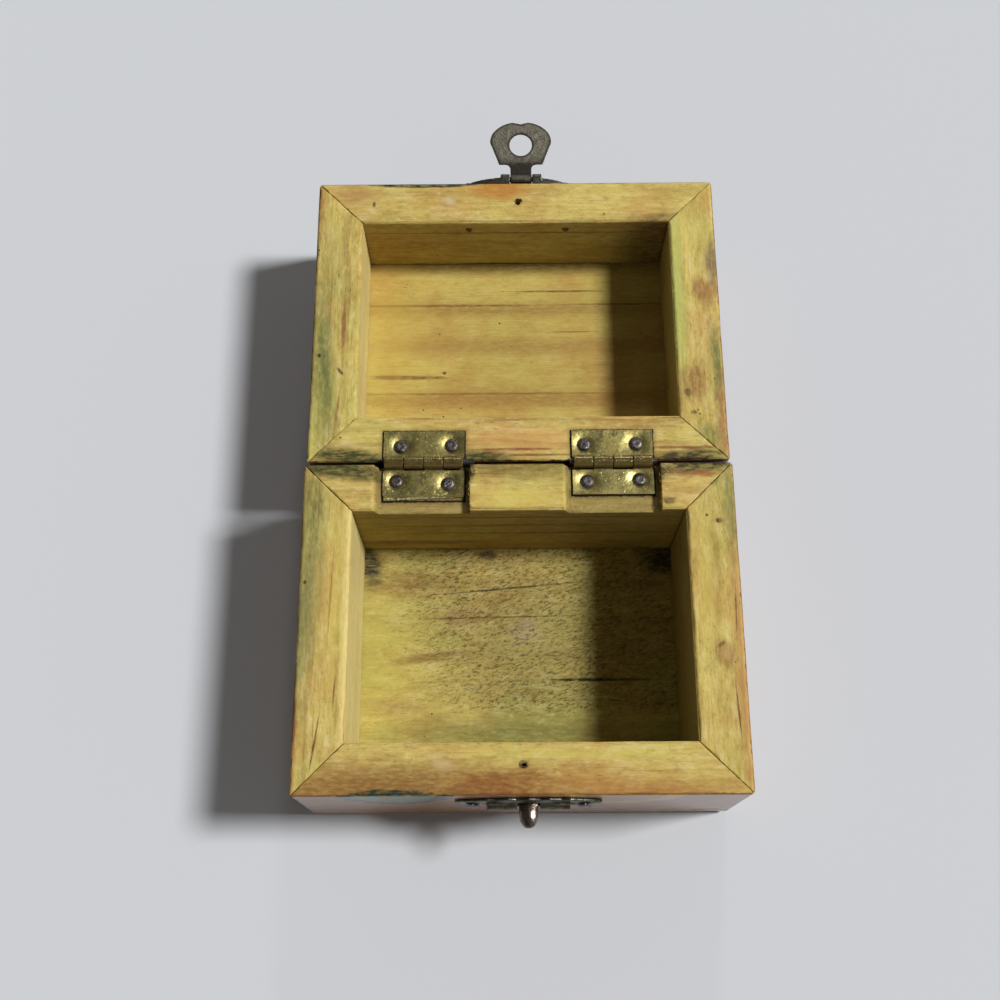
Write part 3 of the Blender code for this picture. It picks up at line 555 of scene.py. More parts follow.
        height = grain["Height"]
        if self.rough_sawn:
            color, height = self.saw_marks(finish, color)
        color = self.inside(finish, finish.stained(color, self.stains))
        outside = self.outside(finish)
        painted = self.painting(finish)
        age = graph.math("MAXIMUM", tone * 1.2, grain["Streak"] * 0.4)
        painted = graph.mix(age, painted, graph.mix(1.0, painted, self.paint.aged, "MULTIPLY"))
        color = finish.stained(graph.mix(outside, color, painted), self.spills)
        finish.wire("Base Color", color)
        finish.wire("Roughness", 0.78 - outside * 0.4)
        finish.wire("Coat Weight", outside * 0.5)
        finish.wire("Coat Roughness", 0.12)
        finish.wire("Specular IOR Level", 0.3)
        finish.bump(height * (1.0 - outside * 0.7))
        return finish.material

    def saw_marks(self, finish: Finish, color: Value) -> tuple[Value, Value]:
        """Dark torn flecks that climb to the right across the rough floor.

        Args:
            finish: the board's finish.
            color: the wood's colour so far.

        Returns:
            The colour and the height with the flecks in them.
        """
        graph = finish.graph
        turned = finish.moved(-TORN_RISE, (3.0, 8.0, 0.0))
        torn = graph.noise(turned * (0.9, 2.3, 1.0), 1.0, 6.0, 0.78)
        grit = graph.noise(turned * (1.6, 3.2, 1.0), 1.0, 4.0, 0.7)
        x, y, _ = graph.parts(finish.point)
        bare = graph.mask(x + y * 0.4, -33.0, -6.0)
        amount = (0.25 + bare * 0.75) * graph.mask(y, -17.0, -11.0)
        fleck = graph.mask(torn, 0.51, 0.68) * amount
        pale = graph.mask(torn, 0.46, 0.34) * amount
        color = graph.layers(color, (fleck * 0.55, self.wood.fleck), (pale * 0.6, self.wood.torn))
        height = torn * 0.36 + grit * 0.18 - fleck * 0.3
        return color, height * (0.2 + amount * 0.8)


@dataclass(frozen=True)
class Metal:
    """An old metal: clean colour, tarnish, pits, grime near the joints, and darkening where its points carry an edge
    value, which on the hinge leaves is mostly painted shade.
    """

    name: str
    clean: Triple
    tarnish: Triple
    grime: Triple
    rough: float
    patch: float = 3.0
    cloud: float = 0.8
    pits: float = 0.6
    scratch: float = 0.0
    polish: Triple = (0.75, 0.75, 0.75)
    grime_axis: Pair | None = None
    grime_reach: Pair = (1.6, 3.0)
    grime_share: float = 0.75
    # How strongly the points' edge value darkens the metal; on the hinge leaves that value is mostly painted shade.
    edge: float = 0.0
    dent: float = 0.0
    marks: tuple[Stain, ...] = ()
    rolled: Triple | None = None

    def build(self, effects: Effects) -> bpy.types.Material:
        """Builds the metal's material.

        Args:
            effects: the shared shader groups.

        Returns:
            The material.
        """
        finish = Finish(self.name, effects)
        graph = finish.graph
        patina = graph.group(effects.patina, Vector=finish.point, Size=self.patch)
        cloud = patina["Cloud"] * self.cloud
        dirt = patina["Pit"] * self.pits
        height = patina["Height"]
        color = graph.mix(cloud, self.clean, self.tarnish)
        color = graph.mix(patina["Speckle"] * 0.4, color, self.grime)
        if self.grime_axis is not None:
            dirt = graph.math("MAXIMUM", dirt, self.joint_grime(finish) * self.grime_share)
        # The edge value darkens towards the grime colour: painted shade at the hinge leaves' nail rings and knuckles,
        # darker cut sides on the leaves and the flap.
        if self.edge:
            dirt = graph.math("MAXIMUM", dirt, finish.attribute("edge") * self.edge)
        if self.dent:
            height = height - finish.attribute("dent") * self.dent
        for mark in self.marks:
            height = height - finish.patch(mark) * 0.12
        color = graph.mix(dirt, finish.stained(color, self.marks), self.grime)
        rough = self.rough + graph.math("MAXIMUM", cloud, dirt) * 0.22
        if self.rolled is not None:
            roll = finish.attribute("roll")
            worn = graph.mask(graph.noise(finish.point, 0.9, 3.0), 0.35, 0.6)
            color = graph.mix(roll * (0.35 + worn * 0.5), color, self.rolled)
            rough = rough - roll * 0.14
        if self.scratch:
            strokes = graph.group(effects.scratches, Vector=finish.point, Wide=0.05)
            color = graph.mix(strokes["Mask"] * self.scratch, color, self.polish)
        finish.wire("Base Color", color)
        finish.wire("Metallic", 1.0 - dirt * 0.5)
        finish.wire("Roughness", rough)
        finish.bump(height)
        return finish.material

    def joint_grime(self, finish: Finish) -> Value:
        """The grime round a joint's axis, which leaves the middle of the roll clean."""
        graph = finish.graph
        _, y, z = graph.parts(finish.point)
        axis_y, axis_z = self.grime_axis
        off = graph.math("LENGTH", graph.joined(0.0, y - axis_y, z - axis_z))
        fray = (graph.noise(finish.point, 0.9, 3.0) - 0.5) * 2.4
        near = 1.0 - graph.mask(off + fray, *self.grime_reach)
        return near * (0.3 + graph.mask(off, 1.12, 1.42) * 0.7)


# ---- meshes


def value_noise(points: np.ndarray, seed: int) -> np.ndarray:
    """Smooth noise from 0 to 1.

    Args:
        points: one row for each point, counted in cells of the noise.
        seed: which noise.

    Returns:
        One value for each point.
    """
    cell = np.floor(points).astype(np.int64)
    ease = points - cell
    ease = ease * ease * (3 - 2 * ease)
    total = np.zeros(len(points))
    for corner in product((0, 1), repeat=3):
        at = cell + np.array(corner)
        mixed = (at[:, 0] * 73856093) ^ (at[:, 1] * 19349663) ^ (at[:, 2] * 83492791) ^ (seed * 40503)
        mixed = ((mixed ^ (mixed >> 13)) * 1274126177) & 0x7FFFFFFF
        weight = np.prod(np.where(np.array(corner), ease, 1 - ease), axis=1)
        total += weight * ((mixed >> 4) & 0xFFFF) / 0xFFFF
    return total


def link(name: str, data: bpy.types.ID) -> bpy.types.Object:
    """Puts a mesh, a lamp or a camera into the scene as an object of that name."""
    made = bpy.data.objects.new(name, data)
    bpy.context.scene.collection.objects.link(made)
    return made


def coat(obj: bpy.types.Object, material: bpy.types.Material) -> None:
    """Gives an object one material."""
    obj.data.materials.clear()
    obj.data.materials.append(material)


def plain(obj: bpy.types.Object) -> bpy.types.Object:
    """Replaces an object's mesh by what its modifiers give, and removes them."""
    depsgraph = bpy.context.evaluated_depsgraph_get()
    depsgraph.update()
    old = obj.data
    mesh = bpy.data.meshes.new_from_object(obj.evaluated_get(depsgraph))
    obj.modifiers.clear()
    obj.data = mesh
    bpy.data.meshes.remove(old)
    return obj


def merged_copy(node: str) -> bmesh.types.BMesh:
    """A CAD node's surface as one closed mesh, in metres."""
    bm = bmesh.new()
    bm.from_mesh(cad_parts[node].data)
    bmesh.ops.remove_doubles(bm, verts=bm.verts[:], dist=1e-6)
    return bm


def as_object(bm: bmesh.types.BMesh, name: str) -> bpy.types.Object:
    """Puts a loose mesh into the scene and frees it."""
    mesh = bpy.data.meshes.new(name)
    bm.to_mesh(mesh)
    bm.free()
    return link(name, mesh)


def gridded(node: str, name: str, step: float, levels: int) -> bpy.types.Object:
    """A copy of a CAD node cut into small faces, with its shape kept.

    Args:
        node: the CAD node.
        name: the new object's name.
        step: the distance between the cuts, in metres.
        levels: how often each face is then split.

    Returns:
        The object.
    """
    bm = merged_copy(node)
    bmesh.ops.dissolve_limit(bm, angle_limit=math.radians(0.4), verts=bm.verts[:], edges=bm.edges[:])
    low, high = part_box(node)
    for axis in range(3):
        normal = Vector([float(part == axis) for part in range(3)])
        reach = high[axis] - low[axis]
        count = max(1, round(reach / step))
        for number in range(1, count):
            everything = bm.verts[:] + bm.edges[:] + bm.faces[:]
            at = low + normal * reach * number / count
            bmesh.ops.bisect_plane(bm, geom=everything, dist=1e-7, plane_co=at, plane_no=normal)
    made = as_object(bm, name)
    split = made.modifiers.new("Split", "SUBSURF")
    split.subdivision_type = "SIMPLE"
    split.levels = split.render_levels = levels
    return plain(made)


def remeshed(node: str, name: str, voxel: float) -> bpy.types.Object:
    """A copy of a CAD node as an even mesh with softened edges.

    Args:
        node: the CAD node.
        name: the new object's name.
        voxel: the size of a face, in metres.

    Returns:
        The object.
    """
    made = as_object(merged_copy(node), name)
    even = made.modifiers.new("Even", "REMESH")
    even.mode = "VOXEL"
    even.voxel_size = voxel
    even.use_smooth_shade = True
    return plain(made)


def read_shape(mesh: bpy.types.Mesh) -> tuple[np.ndarray, np.ndarray]:
    """A mesh's points and their normals."""
    count = len(mesh.vertices)
    points = np.zeros(count * 3)
    normals = np.zeros(count * 3)
    mesh.vertices.foreach_get("co", points)
    mesh.vertices.foreach_get("normal", normals)
    return points.reshape(-1, 3), normals.reshape(-1, 3)


def write_shape(mesh: bpy.types.Mesh, points: np.ndarray) -> None:
    """Moves a mesh's points."""
    mesh.vertices.foreach_set("co", points.ravel())
    mesh.update()


def carry(mesh: bpy.types.Mesh, name: str, values: np.ndarray) -> None:
    """Stores a value on each of a mesh's points for its material to read."""
    held = mesh.attributes.new(name, "FLOAT", "POINT")
    held.data.foreach_set("value", np.ascontiguousarray(values, dtype=np.float32))


def spread(mesh: bpy.types.Mesh, values: np.ndarray, rings: int, keep: float) -> np.ndarray:
    """Widens a mask over a mesh's neighbouring points.

    Args:
        mesh: the mesh.
        values: one value for each point.
        rings: how many points the mask is widened by.
        keep: what share of its value it keeps at each step.

    Returns:
        The widened values.
    """
    pairs = np.zeros(len(mesh.edges) * 2, dtype=np.int32)
    mesh.edges.foreach_get("vertices", pairs)
    first, second = pairs.reshape(-1, 2).T
    for _ in range(rings):
        wider = values.copy()
        np.maximum.at(wider, first, keep * values[second])
        np.maximum.at(wider, second, keep * values[first])
        values = wider
    return values


def edge_share(normals: np.ndarray, facing: Vector) -> np.ndarray:
    """How far each point's normal turns away from a sheet's face, from 0 to 1."""
    turned = 1 - np.abs(normals @ np.array(facing))
    return np.clip((turned - 0.06) / 0.3, 0, 1)


@dataclass(frozen=True)
class Wear:
    """Years of handling: shallow hollows on a board's faces and chips along its edges."""

    depth: float = 0.05 * MM
    edge_depth: float = 0.2 * MM
    long: float = 3.2 * MM
    wide: float = 1.1 * MM
    fine_size: float = 0.42
    chip_size: float = 1.7

    def apply(self, obj: bpy.types.Object, along: Along, seed: int) -> None:
        """Wears an object down in place.

        Args:
            obj: the object.
            along: which way its grain runs.
            seed: which noise.
        """
        points, normals = read_shape(obj.data)
        lengths = (self.long, self.wide) if along is Along.ACROSS else (self.wide, self.long)
        size = np.array((*lengths, self.wide))
        coarse = value_noise(points / size, seed)
        fine = value_noise(points / (self.fine_size * size), seed + 1)
        chip = value_noise(points / (self.chip_size * size), seed + 2)
        chip = np.clip((chip - 0.35) / 0.65, 0, 1) ** 1.4
        depth = self.depth * (0.65 * coarse + 0.35 * fine)
        edge_depth = self.edge_depth * self.edges(normals) * (0.25 + chip) * (0.5 + fine)
        write_shape(obj.data, points - normals * (depth + edge_depth)[:, None])

    @staticmethod
    def edges(normals: np.ndarray) -> np.ndarray:
        """How much each point is on an edge, from 0 to 1, without the mitres where two boards meet."""
        edge = np.clip((0.985 - np.abs(normals).max(axis=1)) / 0.2, 0, 1)
        mitre = np.abs(np.abs(normals[:, 0]) - np.abs(normals[:, 1])) < 0.15
        edge[mitre & (np.abs(normals[:, 2]) < 0.3)] = 0
        return edge


def settle(obj: bpy.types.Object, body: str, nodes: list[str], material: bpy.types.Material,
           sharp_deg: float = 40.0) -> None:
    """Gives a finished piece its material, shading and place in the frame.

    Args:
        obj: the piece, in place.
        body: the CAD body it rides on.
        nodes: the CAD nodes it stands for.
        material: its finish.
        sharp_deg: edges sharper than this stay sharp.
    """
    coat(obj, material)
    obj.data.shade_smooth()
    obj.data.set_sharp_from_angle(angle=math.radians(sharp_deg))
    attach(obj, body)
    if nodes:
        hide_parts(*nodes)
    LOG.info("%s: %d faces, on %s", obj.name, len(obj.data.polygons), body)


# ---- geometry node trees


class Shapes(Graph):
    """Adds nodes to a Geometry Nodes tree."""

    def __init__(self, name: str, inputs: dict[str, tuple[str, object]]) -> None:
        """Starts a tree with a geometry input, named inputs and a geometry output.

        Args:
            name: the tree's name.
            inputs: each input's kind and its value, by name.
        """
        super().__init__(bpy.data.node_groups.new(name, "GeometryNodeTree"))
        sockets = self.tree.interface
        sockets.new_socket("Geometry", in_out="INPUT", socket_type="NodeSocketGeometry")
        for label, (kind, value) in inputs.items():
            made = sockets.new_socket(label, in_out="INPUT", socket_type=kind)
            if value is not None:
                made.default_value = value
        sockets.new_socket("Geometry", in_out="OUTPUT", socket_type="NodeSocketGeometry")
        entry = self.node("NodeGroupInput")
        self.given = {label: Value(self, entry.outputs[label]) for label in ("Geometry", *inputs)}

    def attribute(self, name: str, kind: str = "FLOAT") -> Value:
        """A named attribute of the points."""
        return self.value("GeometryNodeInputNamedAttribute", "Attribute", {"Name": name}, data_type=kind)

    def random(self, low: Feed, high: Feed, seed: Feed) -> Value:
        """A random value between two limits for each point."""
        inputs = {2: low, 3: high, "Seed": seed}
        return self.value("FunctionNodeRandomValue", 1, inputs, data_type="FLOAT")

    def instances(self, points: Value, shape: Value, rotation: Value, scale: Feed = (1.0, 1.0, 1.0)) -> Value:
        """Places a shape on points."""
        inputs = {"Points": points, "Instance": shape, "Rotation": rotation, "Scale": scale}
        return self.value("GeometryNodeInstanceOnPoints", 0, inputs)

    def realized(self, geometry: Value) -> Value:
        """Makes instances real."""
        return self.value("GeometryNodeRealizeInstances", 0, {0: geometry})

    def close(self, geometry: Value) -> bpy.types.NodeTree:
        """Ends the tree in Realize Instances and Set Material."""
        inputs = {"Geometry": self.realized(geometry), "Material": self.given["Material"]}
        self.node("NodeGroupOutput", {0: self.value("GeometryNodeSetMaterial", 0, inputs)})
        return self.tree


def run_tree(obj: bpy.types.Object, tree: bpy.types.NodeTree, values: dict[str, object]) -> bpy.types.Object:
    """Runs a Geometry Nodes tree on an object and keeps the plain mesh.

    Args:
        obj: the object that carries the tree.
        tree: the tree.
        values: the tree's inputs by name.

    Returns:
        The object with its new mesh.
    """
    modifier = obj.modifiers.new("Shape", "NODES")
    modifier.node_group = tree
    labels = {item.name: item.identifier for item in tree.interface.items_tree if item.in_out == "INPUT"}
    for label, value in values.items():
        modifier[labels[label]] = value
    return plain(obj)


def nail_tree() -> bpy.types.NodeTree:
    """Nails on points: a domed head and a shank, aimed by the points' own direction."""
    inputs = {
        "Head Radius": (FLOAT, 1.45 * MM),
        "Head Rise": (FLOAT, 0.48 * MM),
        "Shank Radius": (FLOAT, 0.6 * MM),
        "Dent": (FLOAT, 0.09 * MM),
        "Seed": ("NodeSocketInt", 3),
        "Material": ("NodeSocketMaterial", None),
    }
    shapes = Shapes("nails", inputs)
    given = shapes.given
    radius = given["Head Radius"]
    ball = shapes.value("GeometryNodeMeshUVSphere", "Mesh", {"Segments": 40, "Rings": 24, "Radius": radius})
    place = shapes.value("GeometryNodeInputPosition", 0, {})
    x, y, z = shapes.parts(place)
    share = shapes.math("MAXIMUM", z, 0.0) / radius
    plateau = 1.0 - (1.0 - share**2.0) ** 2.2
    up = (plateau - share**6.0 * 0.2) * given["Head Rise"]
    height = up + shapes.math("MINIMUM", z, 0.0) * 0.02 + 0.03 * MM
    head = shapes.value("GeometryNodeSetPosition", 0, {"Geometry": ball, "Position": shapes.joined(x, y, height)})
    inputs = {"Vector": shapes.attribute("aim", "FLOAT_VECTOR")}
    aim = shapes.value("FunctionNodeAlignRotationToVector", "Rotation", inputs, axis="Z")
    spin = shapes.joined(0.0, 0.0, shapes.random(0.0, math.tau, given["Seed"]))
    inputs = {"Rotation": aim, "Rotate By": spin}
    twist = shapes.value("FunctionNodeRotateRotation", "Rotation", inputs, rotation_space="LOCAL")
    heads = shapes.realized(shapes.instances(given["Geometry"], head, twist))
    push = (shapes.noise(place, 620.0, 3.0) - 0.6) * given["Dent"] * 2.0
    inputs = {0: shapes.value("GeometryNodeInputNormal", 0, {}), "Scale": push}
    offset = shapes.value("ShaderNodeVectorMath", 0, inputs, operation="SCALE")
    dented = shapes.value("GeometryNodeSetPosition", 0, {"Geometry": heads, "Offset": offset})
    inputs = {"Vertices": 12, "Depth": 1.0, "Radius": given["Shank Radius"]}
    rod = shapes.value("GeometryNodeMeshCylinder", "Mesh", inputs)
    sunk = shapes.value("GeometryNodeTransform", 0, {"Geometry": rod, "Translation": (0.0, 0.0, -0.5)})
    length = shapes.joined(1.0, 1.0, shapes.attribute("length"))
    shanks = shapes.instances(given["Geometry"], sunk, aim, length)
    both = shapes.node("GeometryNodeJoinGeometry")
    for part in (shanks, dented):
        shapes.feed(both.inputs[0], part)
    return shapes.close(Value(shapes, both.outputs[0]))


def sliver_tree() -> bpy.types.NodeTree:
    """Torn wood fibres scattered on patches that carry their crowding and their grain's direction."""
    inputs = {
        "Length": (FLOAT, 0.9 * MM),
        "Thickness": (FLOAT, 0.06 * MM),
        "Lift": (FLOAT, 0.4),
        "Seed": ("NodeSocketInt", 1),
        "Material": ("NodeSocketMaterial", None),
    }
    shapes = Shapes("torn_fibres", inputs)
    given = shapes.given
    inputs = {"Mesh": given["Geometry"], "Density": shapes.attribute("crowd"), "Seed": given["Seed"]}
    points = shapes.value("GeometryNodeDistributePointsOnFaces", "Points", inputs)
    thick = given["Thickness"]
    inputs = {"Vertices": 5, "Radius Bottom": thick, "Radius Top": thick * 0.15, "Depth": given["Length"]}
    cone = shapes.value("GeometryNodeMeshCone", "Mesh", inputs)
    lift = given["Lift"]
    lean = shapes.random(math.pi / 2 - lift, math.pi / 2 + lift * 0.3, given["Seed"])
    turn = shapes.random(-0.45, 0.45, 9) + shapes.attribute("grain")
    size = shapes.joined(1.0, 1.0, shapes.random(0.35, 1.0, 5))
    return shapes.close(shapes.instances(points, cone, shapes.joined(0.0, lean, turn), size))


# ---- the box's parts


@dataclass
class Carcass:
    """The ten boards of the base and the lid."""

    effects: Effects
    boards: list[PineBoard]
    step: float = 2.4 * MM
    levels: int = 2
    wear: Wear = Wear()

    def build(self) -> None:
        """Builds each board from its CAD node."""
        for number, board in enumerate(self.boards):
            made = gridded(board.name, board.name + "_wood", self.step, self.levels)
            self.wear.apply(made, board.along, 11 + 7 * number)
            settle(made, board.half.name.lower(), [board.name], board.build(self.effects))


@dataclass(frozen=True)
class TornPatch:
    """A place where the wood's fibres are torn up: a corner and two sides in millimetres."""

    corner: Triple
    side: Triple
    other: Triple
    count: int
    grain_deg: float = 0.0


@dataclass
class TornFibres:
    """Loose fibres where boards were cut roughly, one piece for each half of the box."""

    effects: Effects
    half: Half
    patches: tuple[TornPatch, ...]
    seed: int = 1

    def finish(self) -> bpy.types.Material:
        """The fibres' own finish: pale and brown wood by turns."""
        made = Finish(self.half.name.lower() + "_fibres", self.effects)
        graph = made.graph
        share = graph.mask(graph.noise(made.point, 1.1, 3.0), 0.42, 0.6)
        made.wire("Base Color", graph.mix(share, srgb(214, 196, 130), srgb(112, 82, 44)))
        made.wire("Roughness", 0.8)
        return made.material

    def build(self) -> None:
        """Scatters the fibres and joins them into one piece."""
        corners, quads, crowd, grain = [], [], [], []
        for patch in self.patches:
            at, side, other = (Vector(part) * MM for part in (patch.corner, patch.side, patch.other))
            quads.append(tuple(range(len(corners), len(corners) + 4)))
            corners += [at, at + side, at + side + other, at + other]
            crowd += [patch.count / side.cross(other).length] * 4
            grain += [math.radians(patch.grain_deg)] * 4
        name = self.half.name.lower() + "_torn_fibres"
        mesh = bpy.data.meshes.new(name)
        mesh.from_pydata(corners, [], quads)
        carry(mesh, "crowd", np.array(crowd))
        carry(mesh, "grain", np.array(grain))
        material = self.finish()
        made = run_tree(link(name, mesh), sliver_tree(), {"Material": material, "Seed": self.seed})
        settle(made, self.half.name.lower(), [], material)


@dataclass
class Hinges:
    """The two butt hinges: their leaves, pins and nails."""

    effects: Effects
    voxel: float = 0.13 * MM
    dish_depth: float = 0.09 * MM
    dish_reach: float = 1.9 * MM
    nail_shade_reach: float = 1.75 * MM
    hammer_depth: float = 0.05 * MM
    hammer_cell: float = 1.4 * MM
    knuckle_shade_cell: float = 0.7 * MM
    roll_reach: float = 1.3 * MM

    def build(self) -> None:
        """Builds the leaves and gives the pins their finish."""
        low, high = (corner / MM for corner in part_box("left_hinge_base_leaf"))
        strip = ((low.x + high.x) / 2 - 1.0, low.y + 0.5, low.z)
        # The brass's edge darkening carries the leaves' painted shade round the nails and on the knuckles.
        brass = Metal(
            name="tarnished_brass", clean=srgb(216, 204, 134), tarnish=srgb(148, 132, 72),
            grime=srgb(50, 38, 22), rough=0.3, patch=2.6, cloud=0.75, pits=0.5,
            grime_axis=(HINGE_Y, HINGE_Z), grime_reach=(1.2, 2.8), edge=0.92, dent=0.55, rolled=srgb(122, 104, 60),
            marks=(Stain(strip, (8.2, 0.4, 2.5), srgb(160, 152, 124), 0.8, turn=1.2, soft=0.3, ragged=0.1),),
        ).build(self.effects)
        steel = Metal(
            name="dark_steel", clean=srgb(96, 94, 98), tarnish=srgb(50, 46, 44), grime=srgb(34, 28, 24),
            rough=0.38, patch=2.0,
        ).build(self.effects)
        for side, half in product(("left", "right"), ("base", "lid")):
            node = f"{side}_hinge_{half}_leaf"
            made = remeshed(node, node + "_brass", self.voxel)
            self.dent(made, side, half)
            settle(made, half, [node], brass)
        for side in ("left", "right"):
            coat(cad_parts[f"{side}_hinge_pin"], steel)

    def dent(self, leaf: bpy.types.Object, side: str, half: str) -> None:
        """Sinks the sheet round its nails and gives it an uneven face.

        Args:
            leaf: the leaf's mesh, in place.
            side: left or right.
            half: the body the leaf is on.
        """
        points, normals = read_shape(leaf.data)
        move = self.hammer_depth * value_noise(points / self.hammer_cell, 5)
        dish = np.zeros(len(points))
        ring = np.zeros(len(points))
        for number in (1, 2):
            low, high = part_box(f"{side}_hinge_{half}_nail_{number}")
            center = (low + high) / 2
            reach = np.hypot(points[:, 0] - center.x, points[:, 1] - center.y)
            dish += np.exp(-(reach / self.dish_reach) ** 2)
            # Painted shade round each nail head, from under the head to 0.3 mm beyond its rim.
            ring = np.maximum(ring, np.clip((self.nail_shade_reach - reach) / (0.3 * MM), 0, 1))
        facing = np.clip(normals[:, 2], 0, 1)
        points[:, 2] -= (move + self.dish_depth * dish) * facing
        write_shape(leaf.data, points)
        carry(leaf.data, "dent", dish)
        carry(leaf.data, "roll", 1 - self.flat(points))
        # The edge value: painted shade round the nail heads and on the knuckles, and the sheet's cut sides darkened,
        # partly grime and partly painted shade.
        rim = edge_share(normals, Vector((0.0, 0.0, 1.0))) * self.flat(points) * (normals[:, 2] < 0.5)
        rim = spread(leaf.data, rim, 1, 0.7)
        carry(leaf.data, "edge", np.maximum.reduce([ring, rim, self.knuckle_shade(points, normals)]))

    def knuckle_shade(self, points: np.ndarray, normals: np.ndarray) -> np.ndarray:
        """Painted shade on the rolled knuckles: their lower side and their ends, from 0 to 1."""
        rolled = 1 - self.flat(points)
        uneven = 0.5 + value_noise(points / self.knuckle_shade_cell, 31)
        lower = np.clip((-normals[:, 1] - 0.12) / 0.35, 0, 1)
        ends = np.clip((np.abs(normals[:, 0]) - 0.15) / 0.35, 0, 1)
        return np.clip(rolled * np.maximum(0.8 * lower * uneven, ends), 0, 1)

    def flat(self, points: np.ndarray) -> np.ndarray:
        """Where the sheet is flat, away from its rolled knuckles: 1 there and 0 on the rolls."""
        return np.clip((np.abs(points[:, 1] - HINGE_Y * MM) - self.roll_reach) / (0.3 * MM), 0, 1)


@dataclass
class Nails:
    """The hinge and clasp nails, one piece for each body."""

    effects: Effects
    hinge_length: float = 7.4 * MM
    head: float = 0.5 * MM
    hidden: float = 0.6 * MM

    def finish(self) -> bpy.types.Material:
        """Worn steel: a slot on one head and a cross on another as painted shade lines, the slot with a painted glint
        beside it, and dark where the hasp's nails come through.
        """
        # Painted shade for the slot and cross grooves, and a painted glint on the slot's edge.
        dark, slot_glint = srgb(24, 20, 20), srgb(220, 218, 214)
        return Metal(
            name="nail_steel", clean=srgb(100, 95, 94), tarnish=srgb(62, 57, 56), grime=srgb(36, 30, 26),
            rough=0.36, patch=1.0, pits=0.8, scratch=0.3, polish=srgb(178, 172, 166),
            marks=(
                Stain((-14.84, 30.37, 32.7), (1.1, 0.16, 1.0), dark, turn=38.0, soft=0.3, ragged=0.1),
                Stain((-14.7, 30.2, 32.7), (1.0, 0.12, 1.0), slot_glint, turn=38.0, soft=0.3, ragged=0.1),
                Stain((14.0, 39.1, 32.7), (1.1, 0.14, 1.0), dark, turn=-40.0, soft=0.3, ragged=0.1),
                Stain((14.0, 39.1, 32.7), (1.1, 0.14, 1.0), dark, turn=50.0, soft=0.3, ragged=0.1),
                Stain((0.35, 93.0, 28.5), (22.0, 1.8, 4.0), srgb(48, 28, 18), soft=0.2, ragged=0.1),
            ),
        ).build(self.effects)

    def build(self) -> None:
        """Builds the nails of the base and of the lid."""
        material, tree = self.finish(), nail_tree()
        for body, clasp, outward in (("base", "catch", -1.0), ("lid", "hasp", 1.0)):
            nodes = [f"{side}_hinge_{body}_nail_{number}" for side in ("left", "right") for number in (1, 2)]
            clasp_nodes = [f"{clasp}_nail_{side}" for side in ("left", "right")]
            spots, aims, lengths = [], [], []
            for node in nodes:
                low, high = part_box(node)
                middle = (low + high) / 2
                spots.append((middle.x, middle.y, high.z - self.head))
                aims.append((0.0, 0.0, 1.0))
                lengths.append(self.hinge_length)
            for node in clasp_nodes:
                low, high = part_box(node)
                middle = (low + high) / 2
                face = low.y if outward < 0 else high.y
                spots.append((middle.x, face - outward * self.head, middle.z))
                aims.append((0.0, outward, 0.0))
                lengths.append(high.y - low.y - self.hidden)
            mesh = bpy.data.meshes.new(body + "_nails")
            mesh.from_pydata(spots, [], [])
            mesh.attributes.new("aim", "FLOAT_VECTOR", "POINT").data.foreach_set("vector", np.ravel(aims))
            carry(mesh, "length", np.array(lengths))
            made = run_tree(link(mesh.name, mesh), tree, {"Material": material, "Seed": 3})
            settle(made, body, nodes + clasp_nodes, material, 50.0)


@dataclass
class Clasp:
    """The hasp on the lid and the catch on the base."""

    effects: Effects
    voxel: float = 0.13 * MM
    dent_depth: float = 0.04 * MM
    dent_cell: float = 0.9 * MM
    flap_face: Vector = field(default_factory=lambda: Vector((0.0, -0.242, 0.970)))

    def build(self) -> None:
        """Builds the plates, the flap and the nose."""
        plate = Metal(
            name="pewter_plate", clean=srgb(112, 110, 98), tarnish=srgb(56, 52, 42), grime=srgb(36, 28, 20),
            rough=0.32, patch=1.8, pits=0.7,
        ).build(self.effects)
        sheet = Metal(
            name="pewter_flap", clean=srgb(140, 136, 122), tarnish=srgb(100, 96, 82), grime=srgb(30, 22, 17),
            rough=0.4, patch=1.1, pits=0.9, grime_axis=(105.8, 30.5), grime_reach=(3.4, 6.2), grime_share=0.95,
            edge=0.95,
        ).build(self.effects)
        nose = Metal(
            name="worn_nose", clean=srgb(150, 140, 128), tarnish=srgb(74, 62, 52), grime=srgb(38, 28, 22),
            rough=0.18, patch=2.4, pits=0.3,
        ).build(self.effects)
        steel = Metal(
            name="hasp_steel", clean=srgb(90, 86, 84), tarnish=srgb(52, 46, 42), grime=srgb(40, 28, 20), rough=0.4,
        ).build(self.effects)
        for node, body, finish in (
            ("hasp_plate", "lid", plate),
            ("catch_plate", "base", plate),
            ("hasp_flap", "flap", sheet),
            ("catch_nose", "nose", nose),
        ):
            made = remeshed(node, node + "_metal", self.voxel)
            points, normals = read_shape(made.data)
            if node == "hasp_flap":
                carry(made.data, "edge", spread(made.data, edge_share(normals, self.flap_face), 4, 0.93))
            move = self.dent_depth * value_noise(points / self.dent_cell, 23)
            write_shape(made.data, points - normals * move[:, None])
            settle(made, body, [node], finish)
        coat(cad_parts["hasp_pin"], steel)


# ---- the studio


